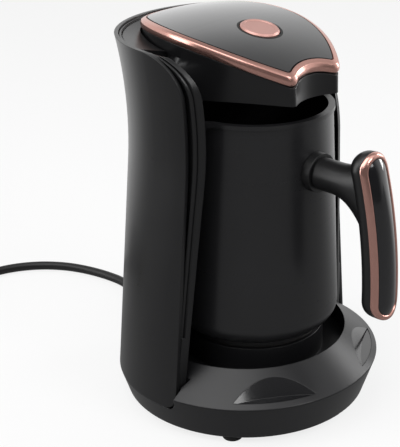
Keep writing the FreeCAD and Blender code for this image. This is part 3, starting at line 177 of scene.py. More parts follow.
class Graph:
    """The node graph of a material or of the world."""

    def __init__(self, owner: Any) -> None:
        """Start with an empty graph.

        Args:
            owner: the material or the world.
        """
        owner.use_nodes = True
        self.tree = owner.node_tree
        self.tree.nodes.clear()

    def node(
        self,
        kind: str,
        settings: Optional[Dict[str, Any]] = None,
        inputs: Optional[Dict[Key, Any]] = None,
        output: Key = 0,
    ) -> Socket:
        """Add a node, set it and join it.

        Args:
            kind: the node's type, less its leading ShaderNode.
            settings: its own settings.
            inputs: values or sockets by input name or number.
            output: which output to return.

        Returns:
            The chosen output.
        """
        made = self.tree.nodes.new("ShaderNode" + kind)
        for key, value in (settings or {}).items():
            setattr(made, key, value)
        for key, value in (inputs or {}).items():
            target = made.inputs[key]
            if isinstance(value, Socket):
                self.tree.links.new(value.link, target)
            elif isinstance(value, tuple) and target.type == "RGBA" and len(value) == 3:
                target.default_value = (*value, 1.0)
            else:
                target.default_value = value
        return Socket(self, made.outputs[output] if made.outputs else None)

    def place(self, scale: Point = (1.0, 1.0, 1.0)) -> Socket:
        """Object coordinates, stretched by scale.

        Args:
            scale: the factor along each axis.

        Returns:
            The coordinates.
        """
        coordinates = self.node("TexCoord", output="Object")
        return self.node("Mapping", {}, {"Vector": coordinates, "Scale": scale})

    def noise(self, size: float, detail: float = 2.0, stretch: Point = (1.0, 1.0, 1.0)) -> Socket:
        """Noise with blobs of about a given size.

        Args:
            size: the blobs' size in metres.
            detail: how many finer layers are added.
            stretch: the factor along each axis.

        Returns:
            A value about 0.5.
        """
        inputs = {"Vector": self.place(stretch), "Scale": 1.0 / size, "Detail": detail,
                  "Roughness": 0.55}
        return self.node("TexNoise", {}, inputs)

    def axis(self, name: str) -> Socket:
        """One of the Object coordinates.

        Args:
            name: X, Y or Z.

        Returns:
            The coordinate in metres.
        """
        coordinates = self.node("TexCoord", output="Object")
        return self.node("SeparateXYZ", {}, {"Vector": coordinates}, output=name)

    def mix(self, factor: Socket, first: Any, second: Any) -> Socket:
        """Blend two colours.

        Args:
            factor: 0 for the first, 1 for the second.
            first: a colour or a socket.
            second: a colour or a socket.

        Returns:
            The blended colour.
        """
        colours = {0: factor, 6: first, 7: second}
        return self.node("Mix", {"data_type": "RGBA"}, colours, output=2)

    def mottled(self, clouds: Socket, colour: Colour, dark: float, light: float) -> Socket:
        """A colour that drifts with a noise between a darker and a lighter tone.

        Args:
            clouds: the noise.
            colour: the colour.
            dark: the darker tone's factor.
            light: the lighter tone's factor.

        Returns:
            The drifting colour.
        """
        low, high = (tuple(min(1.0, c * factor) for c in colour) for factor in (dark, light))
        return self.mix(clouds, low, high)

    def bump(self, height: Socket, strength: float, distance: float, edge: float = 0.0) -> Socket:
        """A normal that is tilted by a height.

        Args:
            height: the height, from 0 to 1.
            strength: how strongly it shows.
            distance: the real height in metres of a value of 1.
            edge: the radius in metres that moulded edges seem rounded to.

        Returns:
            The normal.
        """
        inputs: Dict[Key, Any] = {"Height": height, "Strength": strength, "Distance": distance}
        if edge:
            inputs["Normal"] = self.node("Bevel", {"samples": 6}, {"Radius": edge})
        return self.node("Bump", {}, inputs)

    def surface(self, **inputs: Any) -> None:
        """Finish with a Principled shader.

        Args:
            inputs: its sockets, with _ in place of a space.
        """
        named = {key.replace("_", " "): value for key, value in inputs.items()}
        shader = self.node("BsdfPrincipled", {}, named)
        self.node("OutputMaterial", {}, {"Surface": shader})


def uneven(level: Any, source: Socket, spread: float) -> Socket:
    """Vary a level with a noise.

    Args:
        level: a number or a socket.
        source: a noise about 0.5.
        spread: how much the level changes over the noise's whole span.

    Returns:
        The varied level.
    """
    return level + (source - 0.5) * spread


# Finishes


@dataclass(frozen=True)
class Finish:
    """A procedural material, whose kinds differ in shade()."""

    name: str

    def build(self) -> Material:
        """Make the material."""
        material = bpy.data.materials.new(self.name)
        self.shade(Graph(material))
        return material

    def shade(self, graph: Graph) -> None:
        """Fill the material's graph.

        Args:
            graph: the graph, still empty.
        """
        raise NotImplementedError


@dataclass(frozen=True)
class MouldedPlastic(Finish):
    """Moulded plastic with a fine satin grain and slightly uneven gloss."""

    colour: Colour
    roughness: float = 0.4
    grain: float = 0.05
    specular: float = 0.3

    def shade(self, graph: Graph) -> None:
        """Fill the graph."""
        clouds = graph.noise(CLOUD_SIZE, 3.0)
        grain = graph.noise(GRAIN_SIZE, 1.0)
        graph.surface(
            Base_Color=graph.mottled(clouds, self.colour, 0.9, 1.12),
            Roughness=uneven(uneven(self.roughness, clouds, 0.08), grain, 0.06),
            IOR=1.5,
            Specular_IOR_Level=self.specular,
            Normal=graph.bump(grain, self.grain, FINE_BUMP, SOFT_EDGE),
        )


@dataclass(frozen=True)
class BasePlastic(Finish):
    """Satin plastic of the base, polished in the finger scoops.

    The scoops are found by their depth under the cone, which falls by slope from the ring outward.
    """

    colour: Colour
    roughness: float = 0.33
    polished: float = 0.13
    ring_radius: float = 60.0 * MM
    ring_height: float = 41.75 * MM
    slope: float = 0.7625
    outer_radius: float = 77.0 * MM
    lowest: float = 27.8 * MM
    shallow: float = 0.1 * MM
    sunk: float = 0.3 * MM
    inner_fade: float = 2 * MM
    outer_fade: float = 0.5 * MM

    def shade(self, graph: Graph) -> None:
        """Fill the graph."""
        clouds = graph.noise(CLOUD_SIZE, 3.0)
        grain = graph.noise(GRAIN_SIZE, 1.0)
        x, y, z = graph.axis("X"), graph.axis("Y") - FRAME_SHIFT, graph.axis("Z")
        radius = (x * x + y * y).root()
        depth = self.ring_height - (radius - self.ring_radius) * self.slope - z
        inside = depth.step(self.shallow, self.sunk)
        inside = inside * radius.step(self.ring_radius, self.ring_radius + self.inner_fade)
        beyond = radius.step(self.outer_radius, self.outer_radius + self.outer_fade)
        inside = inside * (1.0 - beyond)
        inside = inside * z.step(self.lowest - self.outer_fade, self.lowest)
        rough = uneven(uneven(self.roughness, clouds, 0.08), grain, 0.06)
        polish = uneven(self.polished, clouds, 0.02)
        graph.surface(
            Base_Color=graph.mottled(clouds, self.colour, 0.9, 1.12),
            Roughness=rough * (1.0 - inside) + polish * inside,
            IOR=1.5,
            Specular_IOR_Level=0.35,
            Coat_Weight=inside * 0.9,
            Coat_Roughness=0.1,
            Normal=graph.bump(grain, 0.05, FINE_BUMP, SOFT_EDGE),
        )


@dataclass(frozen=True)
class GlossPanel(Finish):
    """Hard gloss plastic whose tone falls gently from the rear to the front.

    Where a ring radius is given, a matt black ring of painted shade lies round the button, for the
    shadow in its gap.
    """

    rear: Colour
    front: Colour
    rear_y: float
    front_y: float
    roughness: float = 0.12
    coat: float = 0.6
    shade_ring_radius: float = 0.0
    shade_ring_y: float = 0.0
    shade_ring_fade: float = 0.15 * MM
    shade_ring_roughness: float = 0.5
    shade_ring_colour: Colour = (0.001, 0.001, 0.001)
    shade_ring_stretch: float = 1.05

    def shade(self, graph: Graph) -> None:
        """Fill the graph."""
        # Painted reflection: the colour is lighter towards the rear and darker towards the front.
        along = graph.axis("Y").step(self.front_y, self.rear_y)
        clouds = graph.noise(0.02, 3.0)
        colour, coat = graph.mix(along, self.front, self.rear), self.coat
        rough = uneven(self.roughness, clouds, 0.04)
        # Painted shade: a matt black ring round the button stands in for the shadow in its gap.
        if self.shade_ring_radius:
            x, y = graph.axis("X"), graph.axis("Y") - self.shade_ring_y
            away = (x * x + y * y * self.shade_ring_stretch).root()
            gap_shade = 1.0 - away.step(self.shade_ring_radius, self.shade_ring_radius + self.shade_ring_fade)
            colour, coat = graph.mix(gap_shade, colour, self.shade_ring_colour), self.coat - gap_shade * self.coat
            rough = rough + gap_shade * self.shade_ring_roughness
        graph.surface(
            Base_Color=colour,
            Roughness=rough,
            IOR=1.5,
            Coat_Weight=coat,
            Coat_Roughness=0.06,
            Normal=graph.bump(clouds, 0.04, 0.0001),
        )


@dataclass(frozen=True)
class RoseMetal(Finish):
    """Satin rose gold plating with fine lines of the brush along the strip."""

    colour: Colour
    roughness: float = 0.2
    metallic: float = 0.9
    lines: float = 0.03
    stretch: Point = (1.0, 1.0, 6.0)

    def shade(self, graph: Graph) -> None:
        """Fill the graph."""
        strokes = graph.noise(0.0015, 2.0, self.stretch)
        clouds = graph.noise(0.012, 2.0)
        graph.surface(
            Base_Color=graph.mottled(clouds, self.colour, 0.93, 1.05),
            Metallic=self.metallic,
            Roughness=uneven(self.roughness, strokes, 0.12),
            Normal=graph.bump(strokes, self.lines, FINE_BUMP),
        )


@dataclass(frozen=True)
class CoatedMetal(Finish):
    """Dark coated metal with faint rings of the turning under its coat."""

    colour: Colour
    roughness: float = 0.38
    metallic: float = 0.35
    ring_size: float = 0.0016
    bump: float = 0.06

    def shade(self, graph: Graph) -> None:
        """Fill the graph."""
        rings = graph.noise(self.ring_size, 2.0, (0.02, 0.02, 1.0))
        speck = graph.noise(0.0005, 1.0)
        clouds = graph.noise(0.05, 3.0)
        graph.surface(
            Base_Color=graph.mottled(clouds, self.colour, 0.9, 1.15),
            Metallic=self.metallic,
            Roughness=uneven(uneven(self.roughness, rings, 0.08), speck, 0.08),
            Normal=graph.bump(rings * 0.5 + speck * 0.5, self.bump, 0.00006),
        )


@dataclass(frozen=True)
class PlainMetal(Finish):
    """Bare metal with a drawn or rolled grain."""

    colour: Colour
    roughness: float = 0.35
    stretch: Point = (1.0, 8.0, 1.0)

    def shade(self, graph: Graph) -> None:
        """Fill the graph."""
        grain = graph.noise(0.0012, 2.0, self.stretch)
        clouds = graph.noise(0.01, 2.0)
        graph.surface(
            Base_Color=graph.mottled(clouds, self.colour, 0.85, 1.0),
            Metallic=0.95,
            Roughness=uneven(self.roughness, grain, 0.15),
            Normal=graph.bump(grain, 0.08, FINE_BUMP),
        )


@dataclass(frozen=True)
class CircuitBoard(Finish):
    """Green board with a pattern of tracks under its lacquer."""

    colour: Colour

    def shade(self, graph: Graph) -> None:
        """Fill the graph."""
        tracks = graph.node(
            "TexVoronoi",
            {"distance": "MANHATTAN", "feature": "DISTANCE_TO_EDGE"},
            {"Vector": graph.place(), "Scale": 260.0},
            output="Distance",
        )
        mask = 1.0 - tracks.step(0.02, 0.06)
        light = tuple(min(1.0, c * 1.9 + 0.02) for c in self.colour)
        graph.surface(
            Base_Color=graph.mix(mask, self.colour, light),
            Roughness=0.35 + mask * 0.1,
            Normal=graph.bump(mask, 0.2, 0.00008),
        )


# Meshes


def linked(name: str, data: Any) -> Piece:
    """Put data into a new object.

    Args:
        name: the object's name.
        data: a mesh, curve, lamp or camera.

    Returns:
        The object, linked to the scene.
    """
    made = bpy.data.objects.new(name, data)
    bpy.context.scene.collection.objects.link(made)
    return made


def object_from(name: str, vertices: np.ndarray, faces: np.ndarray) -> Piece:
    """Put arrays of corners and four-sided faces into a new object.

    Args:
        name: the object's name.
        vertices: rows of X, Y and Z in metres.
        faces: rows of four vertex numbers.

    Returns:
        The object, linked to the scene.
    """
    mesh = bpy.data.meshes.new(name)
    mesh.from_pydata(vertices.tolist(), [], faces.tolist())
    mesh.validate()
    return linked(name, mesh)


def swept(name: str, sections: np.ndarray, closed_profile: bool) -> Piece:
    """Skin the sections of a profile that has been carried round a closed path.

    Args:
        name: the object's name.
        sections: an array of path points by profile points by X, Y and Z.
        closed_profile: whether the profile's end joins its start.

    Returns:
        The object, linked to the scene.
    """
    path, profile = sections.shape[:2]
    along = np.arange(path)[:, None]
    across = np.arange(profile if closed_profile else profile - 1)[None, :]
    following, beside = (along + 1) % path, (across + 1) % profile
    corners = [along * profile + across, following * profile + across, following * profile + beside,
               along * profile + beside]
    faces = np.stack([np.broadcast_to(c, (path, across.size)) for c in corners], axis=-1)
    made = object_from(name, sections.reshape(-1, 3), faces.reshape(-1, 4))
    work = bmesh.new()
    work.from_mesh(made.data)
    bmesh.ops.remove_doubles(work, verts=work.verts, dist=SURFACE_MERGE)
    bmesh.ops.recalc_face_normals(work, faces=work.faces)
    work.to_mesh(made.data)
    work.free()
    return made


def rounded(corners: np.ndarray, radii: np.ndarray, steps: int = 5) -> np.ndarray:
    """Round the corners of a flat polygon: each corner becomes a quadratic curve between its sides.

    Args:
        corners: rows of two coordinates, in order round the polygon.
        radii: how far from each corner its curve starts and ends.
        steps: how many spans each curve has.

    Returns:
        Rows of two coordinates.
    """
    before, after = np.roll(corners, 1, axis=0), np.roll(corners, -1, axis=0)
    to_before = (before - corners) / np.linalg.norm(before - corners, axis=1)[:, None]
    to_after = (after - corners) / np.linalg.norm(after - corners, axis=1)[:, None]
    start, end = corners + to_before * radii[:, None], corners + to_after * radii[:, None]
    t = np.linspace(0.0, 1.0, steps + 1)[None, :, None]
    curve = start[:, None] * (1 - t) ** 2 + corners[:, None] * 2 * t * (1 - t)
    curve = curve + end[:, None] * t ** 2
    return curve.reshape(-1, 2)


def smooth(made: Piece, angle: float) -> None:
    """Shade smooth, with sharp edges where faces meet at more than an angle.

    Args:
        made: the object.
        angle: the angle in degrees.
    """
    mesh = made.data
    mesh.polygons.foreach_set("use_smooth", np.ones(len(mesh.polygons), dtype=bool))
    mesh.set_sharp_from_angle(angle=math.radians(angle))
    mesh.update()


def dress(made: Piece, material: Material) -> None:
    """Give an object one material.

    Args:
        made: the object.
        material: its only material.
    """
    made.data.materials.clear()
    made.data.materials.append(material)


@dataclass
class Workshop:
    """What the sub-assemblies share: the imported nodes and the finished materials."""

    nodes: Dict[str, Piece]
    finishes: Dict[str, Material] = field(default_factory=dict)

    def finish(self, recipe: Finish) -> Material:
        """Make a finish once and keep it.

        Args:
            recipe: the finish.

        Returns:
            The material.
        """
        if recipe.name not in self.finishes:
            self.finishes[recipe.name] = recipe.build()
        return self.finishes[recipe.name]

    def skin(self, node: str, recipe: Finish, slot: str, body: Body = Body.MACHINE,
             angle: float = 32.0) -> Piece:
        """Stand a merged, smoothly shaded copy in for a CAD node.

        Args:
            node: the node's name.
            recipe: its finish.
            slot: the record's material slot; passed on to stand, which does not use it.
            body: the body that it rides on.
            angle: edges sharper than this stay sharp, in degrees.

        Returns:
            The new piece.
        """
        mesh = self.nodes[node].data.copy()
        made = linked(node + "_skin", mesh)
        work = bmesh.new()
        work.from_mesh(mesh)
        bmesh.ops.remove_doubles(work, verts=work.verts, dist=SKIN_MERGE)
        work.to_mesh(mesh)
        work.free()
        if mesh.has_custom_normals:
            mesh.attributes.remove(mesh.attributes["custom_normal"])
        smooth(made, angle)
        weights = made.modifiers.new("even_shading", "WEIGHTED_NORMAL")
        weights.mode = "FACE_AREA_WITH_ANGLE"
        weights.keep_sharp = True
        self.stand(made, node, recipe, slot, body)
        return made

    def stand(self, made: Piece, node: str, recipe: Finish, slot: str, body: Body) -> None:
        """Finish a newly made piece and let it stand for a CAD node.

        Args:
            made: the piece.
            node: the node's name.
            recipe: its finish.
            slot: the record's material slot; not used.
            body: the body that it rides on.
        """
        dress(made, self.finish(recipe))
        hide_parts(node)
        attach(made, body.value)
        log.info("%s stands for %s", made.name, node)

    def paint(self, recipe: Finish, *nodes: str) -> None:
        """Give CAD nodes a finish as they are.

        Args:
            recipe: the finish.
            nodes: the nodes' names.
        """
        for node in nodes:
            dress(self.nodes[node], self.finish(recipe))


DEEP_BLACK = (0.006, 0.006, 0.0066)
SATIN_BLACK = MouldedPlastic("satin_black_plastic", DEEP_BLACK, roughness=0.3, specular=0.45)
COLUMN_BLACK = MouldedPlastic("fine_black_plastic", DEEP_BLACK, roughness=0.33, specular=0.4)
HANDLE_BLACK = MouldedPlastic("handle_black_plastic", (0.006, 0.006, 0.0064), roughness=0.34,
                              specular=0.42)
BASE_BLACK = BasePlastic("base_black_plastic", (0.009, 0.009, 0.01))
# Painted reflection: both gloss finishes are lighter at the rear than at the front. The panel also
# has a ring of painted shade round the button.
PANEL_GLOSS = GlossPanel("top_panel_gloss", rear=(0.05, 0.05, 0.052), front=(0.012, 0.012, 0.013),
                         rear_y=0.05, front_y=-0.03, shade_ring_radius=12.7 * MM,
                         shade_ring_y=-10.9 * MM + FRAME_SHIFT)
INLAY_GLOSS = GlossPanel("inlay_gloss", rear=(0.006, 0.006, 0.007), front=(0.004, 0.004, 0.005),
                         rear_y=-0.05, front_y=-0.1)
ROSE_TRIM = RoseMetal("rose_trim", (0.6, 0.33, 0.28))
ROSE_BUTTON = RoseMetal("rose_button", (0.56, 0.31, 0.27), roughness=0.42, metallic=0.6,
                        stretch=(1.0, 1.0, 1.0))
POT_COAT = CoatedMetal("pot_coating", (0.011, 0.011, 0.012), roughness=0.3, metallic=0.1)
HEATER_METAL = CoatedMetal("heater_coating", (0.015, 0.015, 0.016), roughness=0.45)
STEEL = PlainMetal("plain_steel", (0.6, 0.6, 0.6))
PLATED_BRASS = PlainMetal("plated_brass", (0.72, 0.66, 0.5), roughness=0.25)
RUBBER = MouldedPlastic("black_rubber", (0.01, 0.01, 0.01), roughness=0.6, grain=0.12)
CORD_SHEATH = MouldedPlastic("cord_sheath", (0.012, 0.012, 0.012), roughness=0.42, grain=0.06)
SILICONE = MouldedPlastic("dark_silicone", (0.012, 0.011, 0.011), roughness=0.55)
PART_BLACK = MouldedPlastic("component_black", (0.03, 0.03, 0.03), roughness=0.35)
BOARD = CircuitBoard("green_board", (0.01, 0.09, 0.03))


@dataclass
class Base:
    """The round base with its feet and the heater that stands in it."""

    shop: Workshop

    def build(self) -> None:
        """Dress the base and the heater."""
        skin, paint = self.shop.skin, self.shop.paint
        skin("base_housing", BASE_BLACK, "body_plastic", angle=13.0)
        skin("base_bottom_cover", COLUMN_BLACK, "body_plastic")
        skin("rubber_feet", RUBBER, "rubber")
        skin("heater_plate", HEATER_METAL, "heater_metal")
        skin("heater_seal", SILICONE, "silicone")
        paint(STEEL, "base_screws", "heating_element", "temperature_sensor", "heater_clamp",
              "heater_screws", "heat_shield")
        paint(BOARD, "power_board")
        paint(PART_BLACK, "relay", "terminal_block")


@dataclass
class Tower:
    """The C-shaped tower: its rear cover and the front moulding with the wing bands."""

    shop: Workshop

    def build(self) -> None:
        """Dress the tower."""
        self.shop.skin("rear_cover", SATIN_BLACK, "body_plastic", angle=30.0)
        self.shop.skin("column_front", COLUMN_BLACK, "column_plastic", angle=26.0)


@dataclass
class Head:
    """The head over the pot, with its frame, panel and start button.

    The panel's outline is a chain of arcs that meet smoothly: nose notch, nose corner, flank,
    rear flank, rear corner and rear. The crown is a circle turned about a level axis, and falls to
    each side.
    """

    shop: Workshop
    crown_top: float = 227.4 * MM
    crown_radius: float = 159.0 * MM
    crown_y: float = 25.0 * MM
    side_sag: float = 2.0 * MM
    sag_at: float = 40.0 * MM
    half_width: float = 40.6 * MM
    widest_y: float = 8.0 * MM
    flank_radius: float = 79.3 * MM
    nose_x: float = 17.2 * MM
    nose_radius: float = 2.0 * MM
    notch_y: float = -43.3 * MM
    rear_flank_radius: float = 72.0 * MM
    rear_x: float = 14.0 * MM
    rear_corner_radius: float = 18.0 * MM
    rear_radius: float = 90.0 * MM
    spacing: float = 0.7 * MM
    fewest_points: int = 6
    trim_width: float = 4.0 * MM
    trim_height: float = 5.4 * MM

    def crown(self, x: np.ndarray, y: np.ndarray) -> np.ndarray:
        """Height of the crown: a circle about a level axis, whose radius shrinks with x as an arc.

        Args:
            x: places across.
            y: places along, about the base's centre.

        Returns:
            Heights.
        """
        side_radius = (self.sag_at ** 2 / self.side_sag + self.side_sag) / 2
        sag = side_radius - np.sqrt(side_radius ** 2 - x ** 2)
        axis = self.crown_top - self.crown_radius
        return axis + np.sqrt((self.crown_radius - sag) ** 2 - (y - self.crown_y) ** 2)

    def outline(self) -> Tuple[np.ndarray, np.ndarray]:
        """The panel's outline, evenly sampled on each arc, with its outward normals.

        Returns:
            Rows of X and Y, and rows of unit vectors.
        """
        def unit(vector: np.ndarray) -> np.ndarray:
            """The vector at a length of one."""
            return vector / np.linalg.norm(vector)

        flank = np.array([self.half_width - self.flank_radius, self.widest_y])
        run = self.flank_radius - self.nose_radius
        rise = math.sqrt(run ** 2 - (self.nose_x - flank[0]) ** 2)
        corner = np.array([self.nose_x, self.widest_y - rise])
        step = corner[1] - self.notch_y
        notch_radius = corner[0] ** 2 + step ** 2 - self.nose_radius ** 2
        notch_radius = notch_radius / (2 * (self.nose_radius - step))
        notch = np.array([0.0, self.notch_y - notch_radius])
        rear_flank = np.array([self.half_width - self.rear_flank_radius, self.widest_y])
        run = self.rear_flank_radius - self.rear_corner_radius
        rise = math.sqrt(run ** 2 - (self.rear_x - rear_flank[0]) ** 2)
        back = np.array([self.rear_x, self.widest_y + rise])
        drop = math.sqrt((self.rear_radius - self.rear_corner_radius) ** 2 - self.rear_x ** 2)
        rear = np.array([0.0, back[1] - drop])
        to_notch, out_flank = unit(notch - corner), unit(corner - flank)
        out_back, out_rear = unit(back - rear_flank), unit(back - rear)
        level, behind = np.array([1.0, 0.0]), np.array([0.0, 1.0])
        arcs = [
            (notch, notch_radius, behind, -to_notch, -1.0),
            (corner, self.nose_radius, to_notch, out_flank, 1.0),
            (flank, self.flank_radius, out_flank, level, 1.0),
            (rear_flank, self.rear_flank_radius, level, out_back, 1.0),
            (back, self.rear_corner_radius, out_back, out_rear, 1.0),
            (rear, self.rear_radius, out_rear, behind, 1.0),
        ]
        rows = []
        for centre, radius, first, last, sign in arcs:
            start = math.atan2(first[1], first[0])
            turn = math.atan2(first[0] * last[1] - first[1] * last[0], float(first @ last))
            count = max(self.fewest_points, int(abs(turn) * radius / self.spacing))
            angle = start + turn * np.linspace(0.0, 1.0, count, endpoint=False)
            out = np.stack([np.cos(angle), np.sin(angle)], axis=1)
            rows.append(np.concatenate([centre + radius * out, sign * out], axis=1))
        rows.append(np.concatenate([rear + self.rear_radius * behind, behind])[None, :])
        half = np.concatenate(rows)
        mirrored = half[::-1][1:-1] * np.array([-1.0, 1.0, -1.0, 1.0])
        whole = np.concatenate([half, mirrored])
        return whole[:, :2], whole[:, 2:]

    def carried(self, profile: np.ndarray) -> np.ndarray:
        """Carry a profile round the outline.

        Args:
            profile: rows of outward distance and drop below the crown.

        Returns:
            Sections for the skin.
        """
        place, out = self.outline()
        flat = place[:, None, :] + out[:, None, :] * profile[None, :, :1]
        height = self.crown(flat[..., 0], flat[..., 1]) - profile[None, :, 1]
        return np.stack([flat[..., 0], flat[..., 1] + FRAME_SHIFT, height], axis=-1)

    def frame(self) -> Piece:
        """The rose frame: a flat top band that slopes a little, a ridge, and a full round side."""
        wide, tall = self.trim_width / MM, self.trim_height / MM
        corners = np.array([
            [0.55, 2.9], [0.7, 0.0], [1.5, 0.08], [3.1, 0.5], [3.3, 0.8], [3.55, 0.72],
            [wide + 0.1, 2.1], [wide + 0.15, 3.9], [wide - 0.6, tall], [1.8, tall],
            [-1.2, 4.2], [-1.4, 2.9]]) * MM
        reach = np.array([0.15, 0.25, 0.4, 0.1, 0.1, 0.12, 0.7, 0.9, 0.2, 0.3, 0.2, 0.2]) * MM
        return swept("head_frame", self.carried(rounded(corners, reach)), True)

    def build(self) -> None:
        """Dress the head and what it holds."""
        skin, paint, frame = self.shop.skin, self.shop.paint, self.frame()
        smooth(frame, angle=38.0)
        self.shop.stand(frame, "head_trim", ROSE_TRIM, "rose_metal", Body.MACHINE)
        skin("head_housing", COLUMN_BLACK, "column_plastic", angle=30.0)
        skin("top_panel", PANEL_GLOSS, "panel_gloss", angle=25.0)
        skin("sensor_window", INLAY_GLOSS, "panel_gloss")
        skin("start_button", ROSE_BUTTON, "rose_button", Body.BUTTON, angle=30.0)
        paint(COLUMN_BLACK, "button_guide")
        paint(STEEL, "button_spring")
        paint(BOARD, "control_board")
        paint(PART_BLACK, "tact_switch", "buzzer")


@dataclass
class Pot:
    """The pot with its handle, whose grip is a tall round-ended shape with a bowed front."""

    shop: Workshop
    grip_width: float = 21.8 * MM
    grip_top: float = 171.4 * MM
    grip_bottom: float = 79.0 * MM
    front_top_y: float = -91.9 * MM
    front_middle_y: float = -102.6 * MM
    front_bottom_y: float = -105.2 * MM
    front_middle_rise: float = 1.0 * MM
    cap_steps: int = 48
    side_steps: int = 56
    swell: float = 1.1 * MM
    turn_back: float = 3.0 * MM
    body_back: float = 13.2 * MM
    body_droop: float = 3.5 * MM
    body_inward: float = 6.0 * MM
    body_turn: float = 7.0 * MM
    body_steps: int = 12
    body_lip: float = 0.15 * MM
    body_break: float = 0.2 * MM
    seam: float = 0.02 * MM
    neck_height: float = 151.0 * MM
    neck_start: float = 57.0 * MM
    flare_start: float = 66.0 * MM
    neck_end: float = 90.0 * MM
    neck_radius: float = 9.0 * MM
    neck_rings: int = 40
    neck_sides: int = 96
    flare_rise: float = 14.0 * MM
    flare_power: float = 2.5
    flare_widening: float = 0.4 * MM
    flare_drop: float = 5.0 * MM
    drop_power: float = 2.2
    trim_width: float = 3.3 * MM
    trim_depth: float = 2.4 * MM
    inlay_edge: float = 3.45 * MM
    inlay_recess: float = 0.7 * MM
    inlay_dome: float = 1.2 * MM
    inlay_wall: float = 0.5 * MM
    inlay_gap: float = 0.1 * MM
    inlay_steps: int = 12
    inlay_crowding: float = 1.3

    def front_line(self, z: np.ndarray) -> np.ndarray:
        """Y of the grip's bowed front: the circle through its top, middle and bottom points.

        Args:
            z: heights.

        Returns:
            Places along Y, about the base's centre.
        """
        middle_z = (self.grip_top + self.grip_bottom) / 2 + self.front_middle_rise
        points = np.array([[self.front_top_y, self.grip_top], [self.front_middle_y, middle_z],
                           [self.front_bottom_y, self.grip_bottom]])
        system = np.concatenate([2 * points, np.ones((3, 1))], axis=1)
        centre_y, centre_z, rest = np.linalg.solve(system, (points ** 2).sum(axis=1))
        radius = math.sqrt(rest + centre_y ** 2 + centre_z ** 2)
        side = math.copysign(1.0, self.front_middle_y - centre_y)
        return centre_y + side * np.sqrt(radius ** 2 - (z - centre_z) ** 2)

    def carried(self, profile: np.ndarray) -> np.ndarray:
        """Carry a profile round the grip, inward from its edge and back from its front.

        The front bows back as the square of the way across, less the swell. That fades away from
        the trim's depth to the body's back.

        Args:
            profile: rows of inset and depth behind the bowed front.

        Returns:
            Sections for the skin.
        """
        half = self.grip_width / 2
        high, low = self.grip_top - half, self.grip_bottom + half
        over = np.linspace(0.0, math.pi, self.cap_steps, endpoint=False)
        rise = np.linspace(0.0, 1.0, self.side_steps, endpoint=False)
        cap, side = np.ones_like(over), np.ones_like(rise)
        out_x = np.concatenate([np.cos(over), -side, -np.cos(over), side])
        out_z = np.concatenate([np.sin(over), 0 * side, -np.sin(over), 0 * side])
        spine = np.concatenate([cap * high, high + (low - high) * rise, cap * low,
                                low + (high - low) * rise])
        reach = half - profile[None, :, 0]
        x = out_x[:, None] * reach
        z = spine[:, None] + out_z[:, None] * reach
        bow = self.turn_back * (x / half) ** 2 - self.swell
        from_back = self.body_back - profile[None, :, 1]
        fade = np.clip(from_back / (self.body_back - self.trim_depth), 0.0, 1.0)
        y = self.front_line(z) + profile[None, :, 1] + bow * fade + FRAME_SHIFT
        return np.stack([x, y, z], axis=-1)

    def bead(self) -> Piece:
        """The rose ring on the grip: a round-nosed strip that runs round its front."""
        wide, deep = self.trim_width / MM, self.trim_depth / MM
        corners = np.array([
            [0.05, deep - 0.05], [-0.02, 1.5], [0.6, 0.3], [1.8, -0.1], [2.8, 0.15],
            [wide - 0.05, 0.8], [wide, deep - 0.05]]) * MM
        reach = np.array([0.05, 0.7, 0.7, 0.6, 0.4, 0.3, 0.05]) * MM
        return swept("grip_bead", self.carried(rounded(corners, reach)), True)

    def grip(self) -> Piece:
        """The grip's black body: its sides turn in as a quarter ellipse.

        Its top sinks towards the back, as the square of the depth and of the height above the neck.
        """
        half, start, back = self.grip_width / 2, self.trim_depth + self.seam, self.body_back
        turn = np.linspace(0.0, math.pi / 2, self.body_steps)
        inward, deep = self.body_inward, self.body_turn
        side = np.stack([inward - inward * np.cos(turn), back - deep + deep * np.sin(turn)], axis=1)
        front = np.array([[half, start], [self.body_lip, start], [0.0, start + self.body_break]])
        profile = np.concatenate([front, side, [[half, back]]])
        sections = self.carried(profile)
        far = (profile[None, :, 1] - start) / (back - start)
        above_neck = sections[:, :, 2] - self.neck_height
        near_top = np.clip(above_neck / (self.grip_top - self.neck_height), 0.0, 1.0)
        sections[:, :, 2] -= self.body_droop * far ** 2 * near_top ** 2
        return swept("grip_body", sections, False)

    def neck(self) -> Piece:
        """The neck: ellipses along the way forward, from the pot's collar into the grip.

        Their height grows and their middle falls as powers of the way through the flare.
        """
        flare = np.linspace(self.flare_start, self.neck_end, self.neck_rings)
        reach = np.concatenate([[self.neck_start], flare])[None, :]
        share = np.clip((reach - self.flare_start) / (self.neck_end - self.flare_start), 0.0, 1.0)
        tall = self.neck_radius + self.flare_rise * share ** self.flare_power
        wide = self.neck_radius + self.flare_widening * share
        middle = self.neck_height - self.flare_drop * share ** self.drop_power
        round_way = np.linspace(0.0, 2 * math.pi, self.neck_sides, endpoint=False)[:, None]
        x, z = wide * np.cos(round_way), middle + tall * np.sin(round_way)
        y = np.broadcast_to(FRAME_SHIFT - reach, x.shape)
        rings = np.stack([x, y, z], axis=-1)
        first, last = (np.broadcast_to([[[0.0, y[0, k], middle[0, k]]]], (self.neck_sides, 1, 3))
                       for k in (0, -1))
        return swept("handle_neck", np.concatenate([first, rings, last], axis=1), False)

    def inlay(self) -> Piece:
        """The gloss inlay: its front is domed as the square of the way in from its edge."""
        half, edge = self.grip_width / 2, self.inlay_edge
        way = np.linspace(0.0, 1.0, self.inlay_steps)
        inset = edge + (half - edge) * way ** self.inlay_crowding
        share = (inset - edge) / (half - edge)
        dome = self.inlay_recess - self.inlay_dome * (1 - (1 - share) ** 2)
        front = np.stack([inset, dome], axis=1)[::-1]
        back = self.trim_depth - self.inlay_gap
        wall = np.array([[edge, self.inlay_recess + self.inlay_wall], [edge, back], [half, back]])
        return swept("grip_inlay", self.carried(np.concatenate([front, wall])), False)

